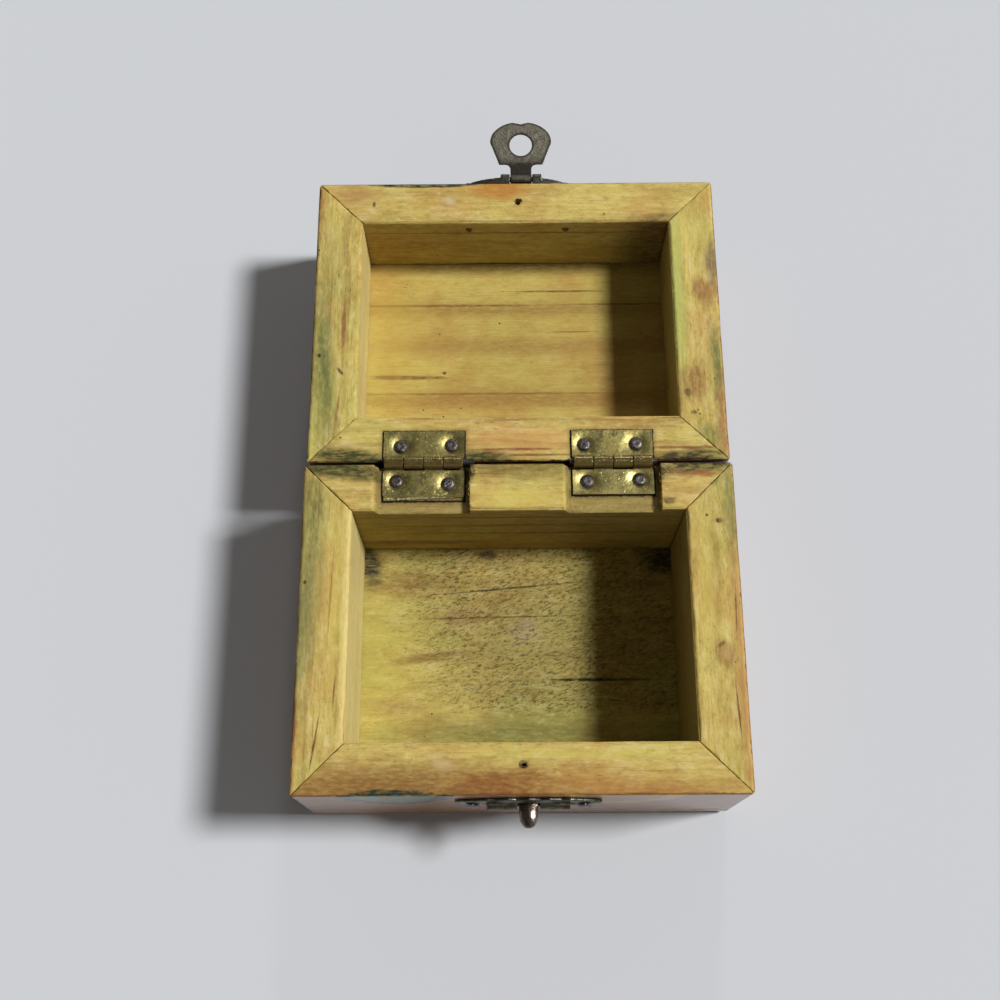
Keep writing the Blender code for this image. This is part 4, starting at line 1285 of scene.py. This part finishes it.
@dataclass
class Studio:
    """The camera, the light and the pale cloth under the box."""

    lens: float = 46.275
    eye: Triple = (-3.266 * MM, -62.273 * MM, 286.507 * MM)
    yaw: float = -0.395
    pitch: float = 19.293
    roll: float = 0.269
    sun_height: float = 53.0
    sun_back: float = 6.0
    sun_spread: float = 10.5
    sun_strength: float = 3.2
    rear_height: float = 27.0
    rear_back: float = 84.0
    rear_spread: float = 4.0
    rear_strength: float = 0.26
    lamp_tint: Triple = (1.0, 0.985, 0.96)
    fill_low: float = 0.5
    fill_high: float = 0.047
    fill_top: float = 0.8
    low_tint: Triple = (1.0, 0.95, 0.86)
    high_tint: Triple = (1.0, 0.97, 0.88)
    cloth: Triple = srgb(207, 211, 218)
    cloth_reach: float = 4.0
    cloth_z: float = -0.05 * MM

    def build(self) -> None:
        """Builds everything that isn't the object."""
        self.camera()
        self.light()
        self.sky()
        self.floor()
        bpy.context.scene.view_settings.view_transform = "Standard"

    def camera(self) -> None:
        """Stands the camera where the photograph was taken."""
        data = bpy.data.cameras.new("camera")
        data.lens = self.lens
        data.clip_start = 0.01
        made = link("camera", data)
        turn = Matrix.Rotation(math.radians(self.yaw), 3, "Z")
        turn = turn @ Matrix.Rotation(math.radians(self.pitch), 3, "X")
        turn = turn @ Matrix.Rotation(math.radians(self.roll), 3, "Y")
        made.matrix_world = Matrix.Translation(self.eye) @ turn.to_4x4()
        bpy.context.scene.camera = made

    def lamp(self, name: str, strength: float, spread: float, height: float, aside: float) -> None:
        """Adds a soft lamp far away.

        Args:
            name: the lamp's name.
            strength: its strength.
            spread: how wide it looks, in degrees.
            height: its height over the horizon, in degrees.
            aside: its direction from the right towards the back, in degrees.
        """
        data = bpy.data.lights.new(name, "SUN")
        data.energy = strength
        data.angle = math.radians(spread)
        data.color = self.lamp_tint
        made = link(name, data)
        up, turn = math.radians(height), math.radians(aside)
        toward = Vector((math.cos(up) * math.cos(turn), math.cos(up) * math.sin(turn), math.sin(up)))
        made.rotation_mode = "QUATERNION"
        made.rotation_quaternion = toward.to_track_quat("Z", "Y")

    def light(self) -> None:
        """A soft key light from the right, and a faint one from behind for the rolled knuckles."""
        self.lamp("key", self.sun_strength, self.sun_spread, self.sun_height, self.sun_back)
        self.lamp("rear", self.rear_strength, self.rear_spread, self.rear_height, self.rear_back)

    def sky(self) -> None:
        """A dim fill, lighter near the horizon."""
        world = bpy.data.worlds.new("studio")
        bpy.context.scene.world = world
        world.use_nodes = True
        graph = Graph(world.node_tree)
        background = world.node_tree.nodes["Background"]
        _, _, up = graph.parts(graph.value("ShaderNodeTexCoord", "Generated", {}))
        ends = {"Value": up, "From Max": self.fill_top, "To Min": self.fill_low, "To Max": self.fill_high}
        level = graph.value("ShaderNodeMapRange", "Result", ends, interpolation_type="SMOOTHSTEP")
        tint = graph.mix(graph.mask(up, 0.0, self.fill_top), self.low_tint, self.high_tint)
        graph.feed(background.inputs["Color"], tint)
        graph.feed(background.inputs["Strength"], level)

    def floor(self) -> None:
        """A plain, pale ground, a hair under the box."""
        mesh = bpy.data.meshes.new("cloth")
        sides = ((-1, -1), (1, -1), (1, 1), (-1, 1))
        corners = [(x * self.cloth_reach, y * self.cloth_reach, self.cloth_z) for x, y in sides]
        mesh.from_pydata(corners, [], [(0, 1, 2, 3)])
        made = link("cloth", mesh)
        material = bpy.data.materials.new("pale_cloth")
        material.use_nodes = True
        shader = material.node_tree.nodes["Principled BSDF"]
        shader.inputs["Base Color"].default_value = (*self.cloth, 1.0)
        shader.inputs["Roughness"].default_value = 0.9
        shader.inputs["Specular IOR Level"].default_value = 0.1
        mesh.materials.append(material)


# ---- what each board looks like, with every place in millimetres


BASE_RIM, FLOOR = Half.BASE.value[2:]
LID_RIM, LID_INSIDE = Half.LID.value[2:]
GREEN = srgb(122, 128, 74)
DEEP_GREEN = srgb(62, 66, 32)
BLACK_GREEN = srgb(34, 50, 40)
BROWN = srgb(146, 100, 58)
STREAK = srgb(108, 74, 38)
DARK = srgb(48, 36, 22)
# Painted sunlight for the cavity walls that face the key light.
PAINTED_SUNLIGHT = srgb(228, 216, 156)


def base_boards() -> list[PineBoard]:
    """The finish of each of the base's boards."""
    olive = PineColors(
        light=srgb(206, 192, 106), warm=srgb(192, 168, 94), washed=srgb(176, 174, 94), pale=srgb(230, 218, 156),
    )
    return [
        PineBoard(
            "base_front_board", Half.BASE, Along.ACROSS, (13.0, 2.0, 4.0), spacing=7.0, rings=0.25, green_wash=0.2,
            painted_wall_light_share=0.1,
            stains=(
                Stain((-8.0, -34.4, BASE_RIM), (46.0, 5.2, 9.0), srgb(168, 118, 60), 0.85, soft=0.5, ragged=0.4),
                Stain((-26.0, -35.0, BASE_RIM), (30.0, 6.4, 9.0), srgb(130, 96, 48), 0.9, soft=0.6, ragged=0.5),
                Stain((-4.1, -32.4, BASE_RIM), (8.0, 2.8, 3.0), srgb(136, 84, 40), 0.8, soft=0.6),
                Stain((28.0, -34.4, BASE_RIM), (12.0, 2.2, 4.0), srgb(164, 112, 60), 0.6, soft=0.6),
                Stain((-15.2, -28.3, BASE_RIM), (1.7, 1.1, 2.0), srgb(208, 180, 136), 0.5, soft=0.7, ragged=1.2),
                # Painted shade down the hole in the rim.
                Stain((0.4, -28.2, 30.0), (0.95, 0.85, 9.0), srgb(20, 15, 9), soft=0.3, ragged=0.5),
                Stain((12.0, -26.4, BASE_RIM), (16.0, 1.0, 2.0), srgb(206, 198, 96), 0.5, soft=0.7),
                Stain((-25.0, -34.5, BASE_RIM), (9.0, 1.5, 5.0), BLACK_GREEN, 1.0, soft=0.1, ragged=0.35),
            ),
        ),
        PineBoard(
            "base_left_board", Half.BASE, Along.DEEP, (3.0, 21.0, 1.0), spacing=4.6, rings=0.45, streaks=0.8,
            painted_wall_light=PAINTED_SUNLIGHT, painted_wall_light_share=0.5,
            stains=(
                Stain((-43.2, 12.0, BASE_RIM), (2.6, 17.0, 6.0), GREEN, 0.8, soft=0.8, ragged=0.6),
                Stain((-44.4, -4.0, BASE_RIM), (1.6, 12.0, 6.0), srgb(116, 118, 78), 0.7, soft=0.8),
                Stain((-42.0, 26.0, BASE_RIM), (2.2, 5.0, 6.0), DEEP_GREEN, 0.5, soft=0.8),
                Stain((-37.0, 4.0, BASE_RIM), (1.8, 18.0, 3.0), srgb(208, 192, 92), 0.5, soft=0.8),
                Stain((-43.8, 8.6, BASE_RIM), (0.4, 0.4, 1.0), DARK, 1.0, ragged=0.3),
                Stain((-37.0, -14.0, BASE_RIM), (0.2, 3.0, 1.0), BROWN, 1.0, turn=-3.0, ragged=0.3),
                Stain((-35.4, 0.0, BASE_RIM), (0.7, 30.0, 1.0), srgb(226, 208, 140), 0.6, soft=0.6),
                Stain((-38.4, 6.0, BASE_RIM), (0.16, 9.0, 1.0), BROWN, 0.7, turn=-2.0, ragged=0.3),
                Stain((-40.5, -24.0, BASE_RIM), (0.2, 5.0, 1.0), STREAK, 1.0, turn=-8.0, ragged=0.3),
                Stain((-44.8, -22.0, BASE_RIM), (0.8, 9.0, 4.0), srgb(160, 100, 60), 0.7, soft=0.6),
            ),
        ),
        PineBoard(
            "base_right_board", Half.BASE, Along.DEEP, (7.0, -9.0, 14.0), spacing=6.0, rings=0.3, green_wash=0.6,
            painted_wall_light_share=0.72,
            stains=(
                Stain((44.4, -4.0, BASE_RIM), (1.5, 38.0, 8.0), srgb(184, 128, 80), 0.6, soft=0.7),
                Stain((44.6, 25.0, BASE_RIM), (2.2, 9.0, 6.0), GREEN, 0.85, soft=0.7),
                Stain((40.6, 30.7, BASE_RIM), (2.2, 1.6, 4.0), GREEN, 0.7, soft=0.6),
                Stain((38.2, 10.0, BASE_RIM), (1.6, 12.0, 2.0), srgb(210, 192, 98), 0.5, soft=0.8),
                Stain((41.3, 21.3, BASE_RIM), (0.7, 0.6, 1.0), DARK, 1.0, ragged=0.5),
                Stain((38.9, 22.5, BASE_RIM), (0.3, 0.3, 1.0), DARK, 0.9, ragged=0.3),
                Stain((41.0, -6.8, BASE_RIM), (2.2, 2.7, 1.0), srgb(148, 104, 60), 0.75, turn=20.0, ragged=0.7),
                Stain((41.2, -6.4, BASE_RIM), (1.0, 1.3, 1.0), srgb(200, 164, 104), 0.6, soft=0.7),
                Stain((40.2, -4.8, BASE_RIM), (0.9, 0.4, 1.0), srgb(120, 80, 46), 0.8, turn=35.0),
                Stain((42.8, -18.0, BASE_RIM), (0.18, 5.4, 1.0), STREAK, 1.0, turn=3.0, ragged=0.3),
                Stain((43.6, 2.0, BASE_RIM), (0.14, 5.0, 1.0), STREAK, 0.8, turn=-2.0, ragged=0.3),
            ),
        ),
        PineBoard(
            "base_back_board", Half.BASE, Along.ACROSS, (-5.0, 12.0, 8.0), spacing=5.0, rings=0.35, painted_wall_light_share=0.45,
            streaks=0.7,
            leaves=("left_hinge_base_leaf", "right_hinge_base_leaf"),
            stains=(
                Stain((-36.5, 32.8, BASE_RIM), (11.0, 1.9, 8.0), DEEP_GREEN, 1.0, turn=-7.0, soft=0.5, ragged=0.3),
                Stain((0.0, 34.0, BASE_RIM), (13.0, 3.0, 8.0), srgb(112, 96, 44), 0.8, soft=0.7),
                Stain((38.0, 33.4, BASE_RIM), (8.5, 1.5, 6.0), srgb(66, 60, 32), 1.0, turn=6.0, soft=0.5, ragged=0.3),
                Stain((37.0, 31.6, BASE_RIM), (5.0, 0.6, 3.0), srgb(150, 90, 52), 0.8),
                Stain((-1.0, 26.6, BASE_RIM), (9.0, 1.8, 2.0), srgb(214, 196, 98), 0.6, soft=0.7),
                Stain((31.2, 25.6, BASE_RIM), (1.1, 0.8, 1.0), DARK, 0.8),
                Stain((0.0, 23.9, 29.0), (34.0, 2.0, 0.4), STREAK, 0.8, ragged=0.4),
                Stain((-6.0, 23.9, 23.6), (26.0, 2.0, 0.35), STREAK, 0.8, ragged=0.4),
                Stain((6.0, 23.9, 18.4), (30.0, 2.0, 0.5), STREAK, 0.7, ragged=0.4),
                Stain((-22.0, 23.9, 12.0), (14.0, 2.0, 1.6), srgb(92, 70, 34), 0.6, ragged=0.6),
                Stain((-10.0, 32.6, 33.4), (0.9, 2.4, 3.0), DARK, 0.9, soft=0.4),
                Stain((29.9, 32.2, 33.4), (0.8, 2.6, 3.0), DARK, 0.85, soft=0.4),
            ),
        ),
        PineBoard(
            "base_floor", Half.BASE, Along.ACROSS, (9.0, 3.0, 2.0), spacing=8.0, rings=0.3, panel=True,
            rough_sawn=True, green_wash=0.9, wood=olive,
            stains=(
                Stain((4.0, 3.0, FLOOR), (17.0, 12.0, 2.0), srgb(140, 130, 82), 0.4, soft=0.9),
                Stain((-31.0, -2.0, FLOOR), (6.0, 17.0, 2.0), srgb(198, 182, 84), 0.45, soft=0.9),
                Stain((-24.0, 16.0, FLOOR), (9.0, 2.6, 2.0), srgb(134, 98, 54), 0.7, soft=0.8, turn=4.0, ragged=0.6),
                Stain((-20.0, -1.0, FLOOR), (9.0, 0.9, 2.0), srgb(126, 92, 50), 0.6, soft=0.7, turn=8.0, ragged=0.6),
                Stain((-13.0, 8.0, FLOOR), (4.0, 2.6, 2.0), srgb(152, 112, 74), 0.6, soft=0.8),
                Stain((-27.0, -12.0, FLOOR), (6.0, 2.2, 2.0), srgb(140, 102, 60), 0.5, soft=0.8),
                Stain((-34.0, 20.8, FLOOR), (3.0, 5.2, 2.0), srgb(48, 42, 36), 1.0, turn=20.0, ragged=0.6),
                Stain((33.0, 21.6, FLOOR), (5.0, 3.6, 2.0), srgb(52, 42, 32), 0.95, ragged=0.6),
                Stain((-7.0, 22.6, FLOOR), (2.2, 1.2, 2.0), srgb(72, 60, 36), 0.8),
                Stain((1.4, 4.7, FLOOR), (3.2, 2.6, 2.0), srgb(186, 164, 138), 0.5, turn=30.0, soft=0.7, ragged=1.3),
                Stain((0.0, -18.8, FLOOR), (26.0, 3.8, 2.0), srgb(104, 106, 50), 0.75, soft=0.8, ragged=0.5),
                Stain((17.0, -6.2, FLOOR), (10.5, 0.35, 1.0), DARK, 1.0, ragged=0.5),
                Stain((-3.0, 14.6, FLOOR), (14.0, 0.22, 1.0), DARK, 0.8, turn=5.0, ragged=0.5),
                Stain((-4.0, 8.0, FLOOR), (15.0, 0.18, 1.0), DARK, 0.7, turn=1.0, ragged=0.5),
            ),
        ),
    ]


def lid_boards() -> list[PineBoard]:
    """The finish of each of the lid's boards."""
    return [
        PineBoard(
            "lid_front_board", Half.LID, Along.ACROSS, (1.0, -7.0, 3.0), spacing=7.0, rings=0.25, green_wash=0.25,
            painted_wall_light_share=0.3,
            stains=(
                Stain((-3.8, 102.6, LID_RIM), (6.4, 2.8, 3.0), srgb(186, 128, 56), 1.0, soft=0.5, ragged=0.25),
                Stain((-15.1, 99.4, LID_RIM), (1.5, 1.0, 1.0), srgb(208, 196, 166), 0.6, soft=0.7, ragged=1.3),
                # Painted shade down the hole in the rim.
                Stain((0.6, 99.2, 28.0), (0.85, 0.75, 9.0), srgb(20, 15, 9), soft=0.3, ragged=0.5),
                Stain((-32.3, 98.7, LID_RIM), (0.35, 0.7, 1.0), DARK, 0.9, ragged=0.3),
                Stain((-38.0, 101.0, LID_RIM), (6.0, 3.0, 4.0), srgb(176, 130, 82), 0.6, soft=0.8),
                # Painted shadow of the right wall on the right end of the far wall's inside.
                Stain((34.0, 93.8, 22.0), (9.0, 3.0, 12.0), srgb(58, 44, 20), 0.8, soft=0.5, ragged=0.4),
                Stain((0.0, 93.8, 27.0), (34.0, 2.0, 0.35), srgb(122, 84, 40), 0.7, ragged=0.3),
            ),
            spills=(Stain((-21.0, 104.3, LID_RIM), (14.0, 1.3, 4.0), BLACK_GREEN, 1.0, soft=0.15, ragged=0.25),),
        ),
        PineBoard(
            "lid_left_board", Half.LID, Along.DEEP, (5.0, 2.0, 9.0), spacing=4.2, rings=0.45, green_wash=0.8,
            streaks=0.8, painted_wall_light=PAINTED_SUNLIGHT, painted_wall_light_share=0.4,
            stains=(
                Stain(
                    (-42.6, 60.0, LID_RIM), (2.4, 17.0, 6.0), srgb(112, 120, 66), 0.9, turn=4.0, soft=0.8, ragged=0.5,
                ),
                Stain(
                    (-41.6, 56.0, LID_RIM), (0.7, 10.0, 6.0), srgb(92, 102, 58), 0.6, turn=8.0, soft=0.8, ragged=0.5,
                ),
                Stain((-41.5, 84.0, LID_RIM), (2.6, 9.0, 6.0), srgb(150, 148, 80), 0.5, soft=0.8),
                Stain((-43.3, 60.7, LID_RIM), (0.45, 0.45, 1.0), DARK, 1.0, ragged=0.3),
                Stain((-38.6, 56.9, LID_RIM), (0.35, 1.1, 1.0), DARK, 0.9, turn=40.0, ragged=0.3),
                Stain((-38.2, 67.4, LID_RIM), (0.45, 6.5, 1.0), BROWN, 1.0, ragged=0.5),
                Stain((-34.8, 70.0, 29.6), (1.5, 24.0, 0.7), srgb(150, 156, 70), 0.7, soft=0.6),
                Stain((-34.8, 60.0, 22.0), (1.5, 14.0, 1.2), srgb(196, 180, 96), 0.7, soft=0.7),
                Stain((-39.0, 47.0, LID_RIM), (0.3, 6.0, 1.0), BROWN, 0.8, turn=-5.0, ragged=0.5),
                Stain((-44.6, 98.0, LID_RIM), (0.9, 7.0, 4.0), srgb(150, 92, 56), 0.6, soft=0.6),
            ),
        ),
        PineBoard(
            "lid_right_board", Half.LID, Along.DEEP, (-6.0, 8.0, 2.0), spacing=5.5, rings=0.25, green_wash=0.7,
            painted_wall_light_share=0.62,
            stains=(
                Stain((35.9, 75.4, LID_RIM), (1.5, 17.0, 6.0), srgb(184, 192, 104), 0.9, soft=0.6),
                Stain(
                    (41.7, 76.1, LID_RIM), (2.5, 3.1, 2.0), srgb(150, 102, 62), 0.8, turn=25.0, soft=0.5, ragged=0.8,
                ),
                Stain((44.4, 83.4, LID_RIM), (1.9, 6.0, 2.0), srgb(112, 92, 78), 0.85, soft=0.6, ragged=0.5),
                Stain(
                    (38.4, 54.0, LID_RIM), (2.8, 4.2, 2.0), srgb(140, 94, 54), 0.8, turn=-12.0, soft=0.6, ragged=0.8,
                ),
                Stain((36.9, 51.4, LID_RIM), (0.9, 0.9, 1.0), DARK, 0.8),
                Stain((37.9, 46.7, LID_RIM), (0.6, 0.5, 1.0), DARK, 0.8),
                Stain((43.6, 58.4, LID_RIM), (1.3, 8.0, 2.0), srgb(104, 112, 62), 0.9, soft=0.6),
                Stain((40.8, 41.0, LID_RIM), (2.6, 3.0, 2.0), srgb(112, 116, 60), 0.75, soft=0.7),
                Stain((44.4, 45.4, LID_RIM), (1.6, 9.0, 3.0), srgb(158, 108, 72), 0.8, soft=0.6),
                Stain((39.5, 92.0, LID_RIM), (4.5, 5.0, 3.0), srgb(204, 196, 104), 0.45, soft=0.8),
            ),
        ),
        PineBoard(
            "lid_back_board", Half.LID, Along.ACROSS, (4.0, 6.0, -3.0), spacing=4.0, rings=0.5, green_wash=0.25,
            streaks=0.9,
            leaves=("left_hinge_lid_leaf", "right_hinge_lid_leaf"),
            stains=(
                Stain((-36.0, 37.0, LID_RIM), (10.0, 1.7, 6.0), DEEP_GREEN, 1.0, turn=-6.0, soft=0.5, ragged=0.3),
                Stain((-7.0, 36.6, LID_RIM), (5.5, 1.6, 6.0), DEEP_GREEN, 1.0, soft=0.5, ragged=0.3),
                Stain((36.0, 36.6, LID_RIM), (9.0, 1.5, 6.0), srgb(66, 58, 32), 1.0, turn=4.0, soft=0.5, ragged=0.3),
                Stain((2.0, 40.9, LID_RIM), (11.0, 2.6, 3.0), srgb(206, 146, 88), 0.6, soft=0.7),
                Stain((-1.0, 38.4, LID_RIM), (9.0, 0.3, 2.0), srgb(140, 76, 48), 0.9, ragged=0.6),
                Stain((4.0, 37.1, LID_RIM), (7.0, 0.25, 2.0), srgb(120, 66, 42), 0.8, ragged=0.6),
                Stain((36.0, 38.6, LID_RIM), (7.5, 0.35, 2.0), srgb(130, 76, 46), 0.9, ragged=0.6),
                Stain((-31.0, 43.2, LID_RIM), (6.0, 1.0, 2.0), srgb(200, 186, 92), 0.5, soft=0.7),
            ),
        ),
        PineBoard(
            "lid_top", Half.LID, Along.ACROSS, (2.0, 4.5, 7.0), spacing=11.0, bend=3.0, rings=0.12, green_wash=0.3,
            panel=True, streaks=0.25, blotch=0.14, fuzz=0.25,
            wood=PineColors(light=srgb(204, 184, 98), warm=srgb(190, 156, 82), pale=srgb(222, 204, 146)),
            stains=(
                # Painted shadow of the far wall along the foot of the floor.
                Stain((0.0, 93.4, LID_INSIDE), (38.0, 2.2, 1.0), srgb(112, 96, 44), 0.8, soft=0.8, ragged=0.25),
                Stain((0.0, 81.4, LID_INSIDE), (38.0, 1.7, 1.0), srgb(150, 114, 58), 0.7, soft=0.9, ragged=0.2),
                Stain((-18.0, 82.7, LID_INSIDE), (22.0, 0.3, 1.0), srgb(116, 78, 40), 0.8, soft=0.6, ragged=0.3),
                Stain((24.0, 82.9, LID_INSIDE), (13.0, 0.25, 1.0), srgb(116, 78, 40), 0.7, soft=0.6, ragged=0.3),
                Stain((0.0, 71.8, LID_INSIDE), (38.0, 1.8, 1.0), srgb(156, 118, 62), 0.6, soft=0.9, ragged=0.2),
                Stain((0.0, 58.2, LID_INSIDE), (38.0, 2.0, 1.0), srgb(150, 110, 54), 0.7, soft=0.8, ragged=0.2),
                Stain((-8.0, 59.8, LID_INSIDE), (30.0, 0.25, 1.0), srgb(122, 84, 44), 0.7, soft=0.6, ragged=0.3),
                Stain((-25.0, 63.9, LID_INSIDE), (8.5, 0.45, 1.0), STREAK, 0.95, ragged=0.6),
                Stain((-29.0, 64.4, LID_INSIDE), (6.0, 0.2, 1.0), STREAK, 0.8, ragged=0.5),
                Stain((10.0, 86.4, LID_INSIDE), (10.5, 0.25, 1.0), STREAK, 0.9, ragged=0.5),
                Stain((14.0, 75.6, LID_INSIDE), (6.0, 0.16, 1.0), STREAK, 0.7, ragged=0.5),
                Stain((-16.8, 65.1, LID_INSIDE), (0.45, 0.4, 1.0), DARK, 0.9, ragged=0.3),
                Stain((-30.0, 76.0, LID_INSIDE), (7.0, 16.0, 1.0), srgb(204, 180, 84), 0.35, soft=0.9),
            ),
        ),
    ]


def torn_places() -> dict[Half, tuple[TornPatch, ...]]:
    """Where fibres are torn up on each half of the box."""
    up = (0.0, 0.0, 2.2)
    return {
        Half.BASE: (
            TornPatch((-10.3, 24.6, 31.9), (0.0, 8.6, 0.0), up, 46, 90.0),
            TornPatch((29.7, 24.6, 31.9), (0.0, 8.6, 0.0), up, 46, 90.0),
            TornPatch((-10.1, 31.6, 34.15), (2.0, 0.0, 0.0), (0.0, 2.4, 0.0), 22, 20.0),
            TornPatch((29.9, 31.2, 34.15), (1.8, 0.0, 0.0), (0.0, 2.4, 0.0), 14, -20.0),
            TornPatch((-30.0, 24.1, 34.1), (60.0, 0.0, 0.0), (0.0, 0.5, 0.0), 50),
            TornPatch((-12.0, -24.4, 34.1), (24.0, 0.0, 0.0), (0.0, 0.4, 0.0), 26),
            TornPatch((-0.9, -29.5, 34.15), (2.5, 0.0, 0.0), (0.0, 2.5, 0.0), 12),
            TornPatch((34.8, -22.0, 34.1), (0.5, 0.0, 0.0), (0.0, 44.0, 0.0), 30, 90.0),
            TornPatch((-31.0, -14.0, 6.42), (62.0, 0.0, 0.0), (0.0, 36.0, 0.0), 420, TORN_RISE),
        ),
        Half.LID: (
            TornPatch((-33.0, 93.9, 31.6), (66.0, 0.0, 0.0), (0.0, 0.4, 0.0), 34),
            TornPatch((-0.6, 98.0, 31.65), (2.5, 0.0, 0.0), (0.0, 2.5, 0.0), 12),
            TornPatch((-30.0, 45.4, 31.6), (60.0, 0.0, 0.0), (0.0, 0.4, 0.0), 30),
            TornPatch((34.8, 50.0, 31.6), (0.6, 0.0, 0.0), (0.0, 42.0, 0.0), 40, 90.0),
        ),
    }


def main() -> None:
    """Builds the dressed box and its studio."""
    logging.basicConfig(level=logging.INFO, format="%(name)s: %(message)s")
    effects = Effects()
    Studio().build()
    Carcass(effects, base_boards() + lid_boards()).build()
    for half, patches in torn_places().items():
        TornFibres(effects, half, patches).build()
    Hinges(effects).build()
    Nails(effects).build()
    Clasp(effects).build()


if __name__ == "__main__":
    main()
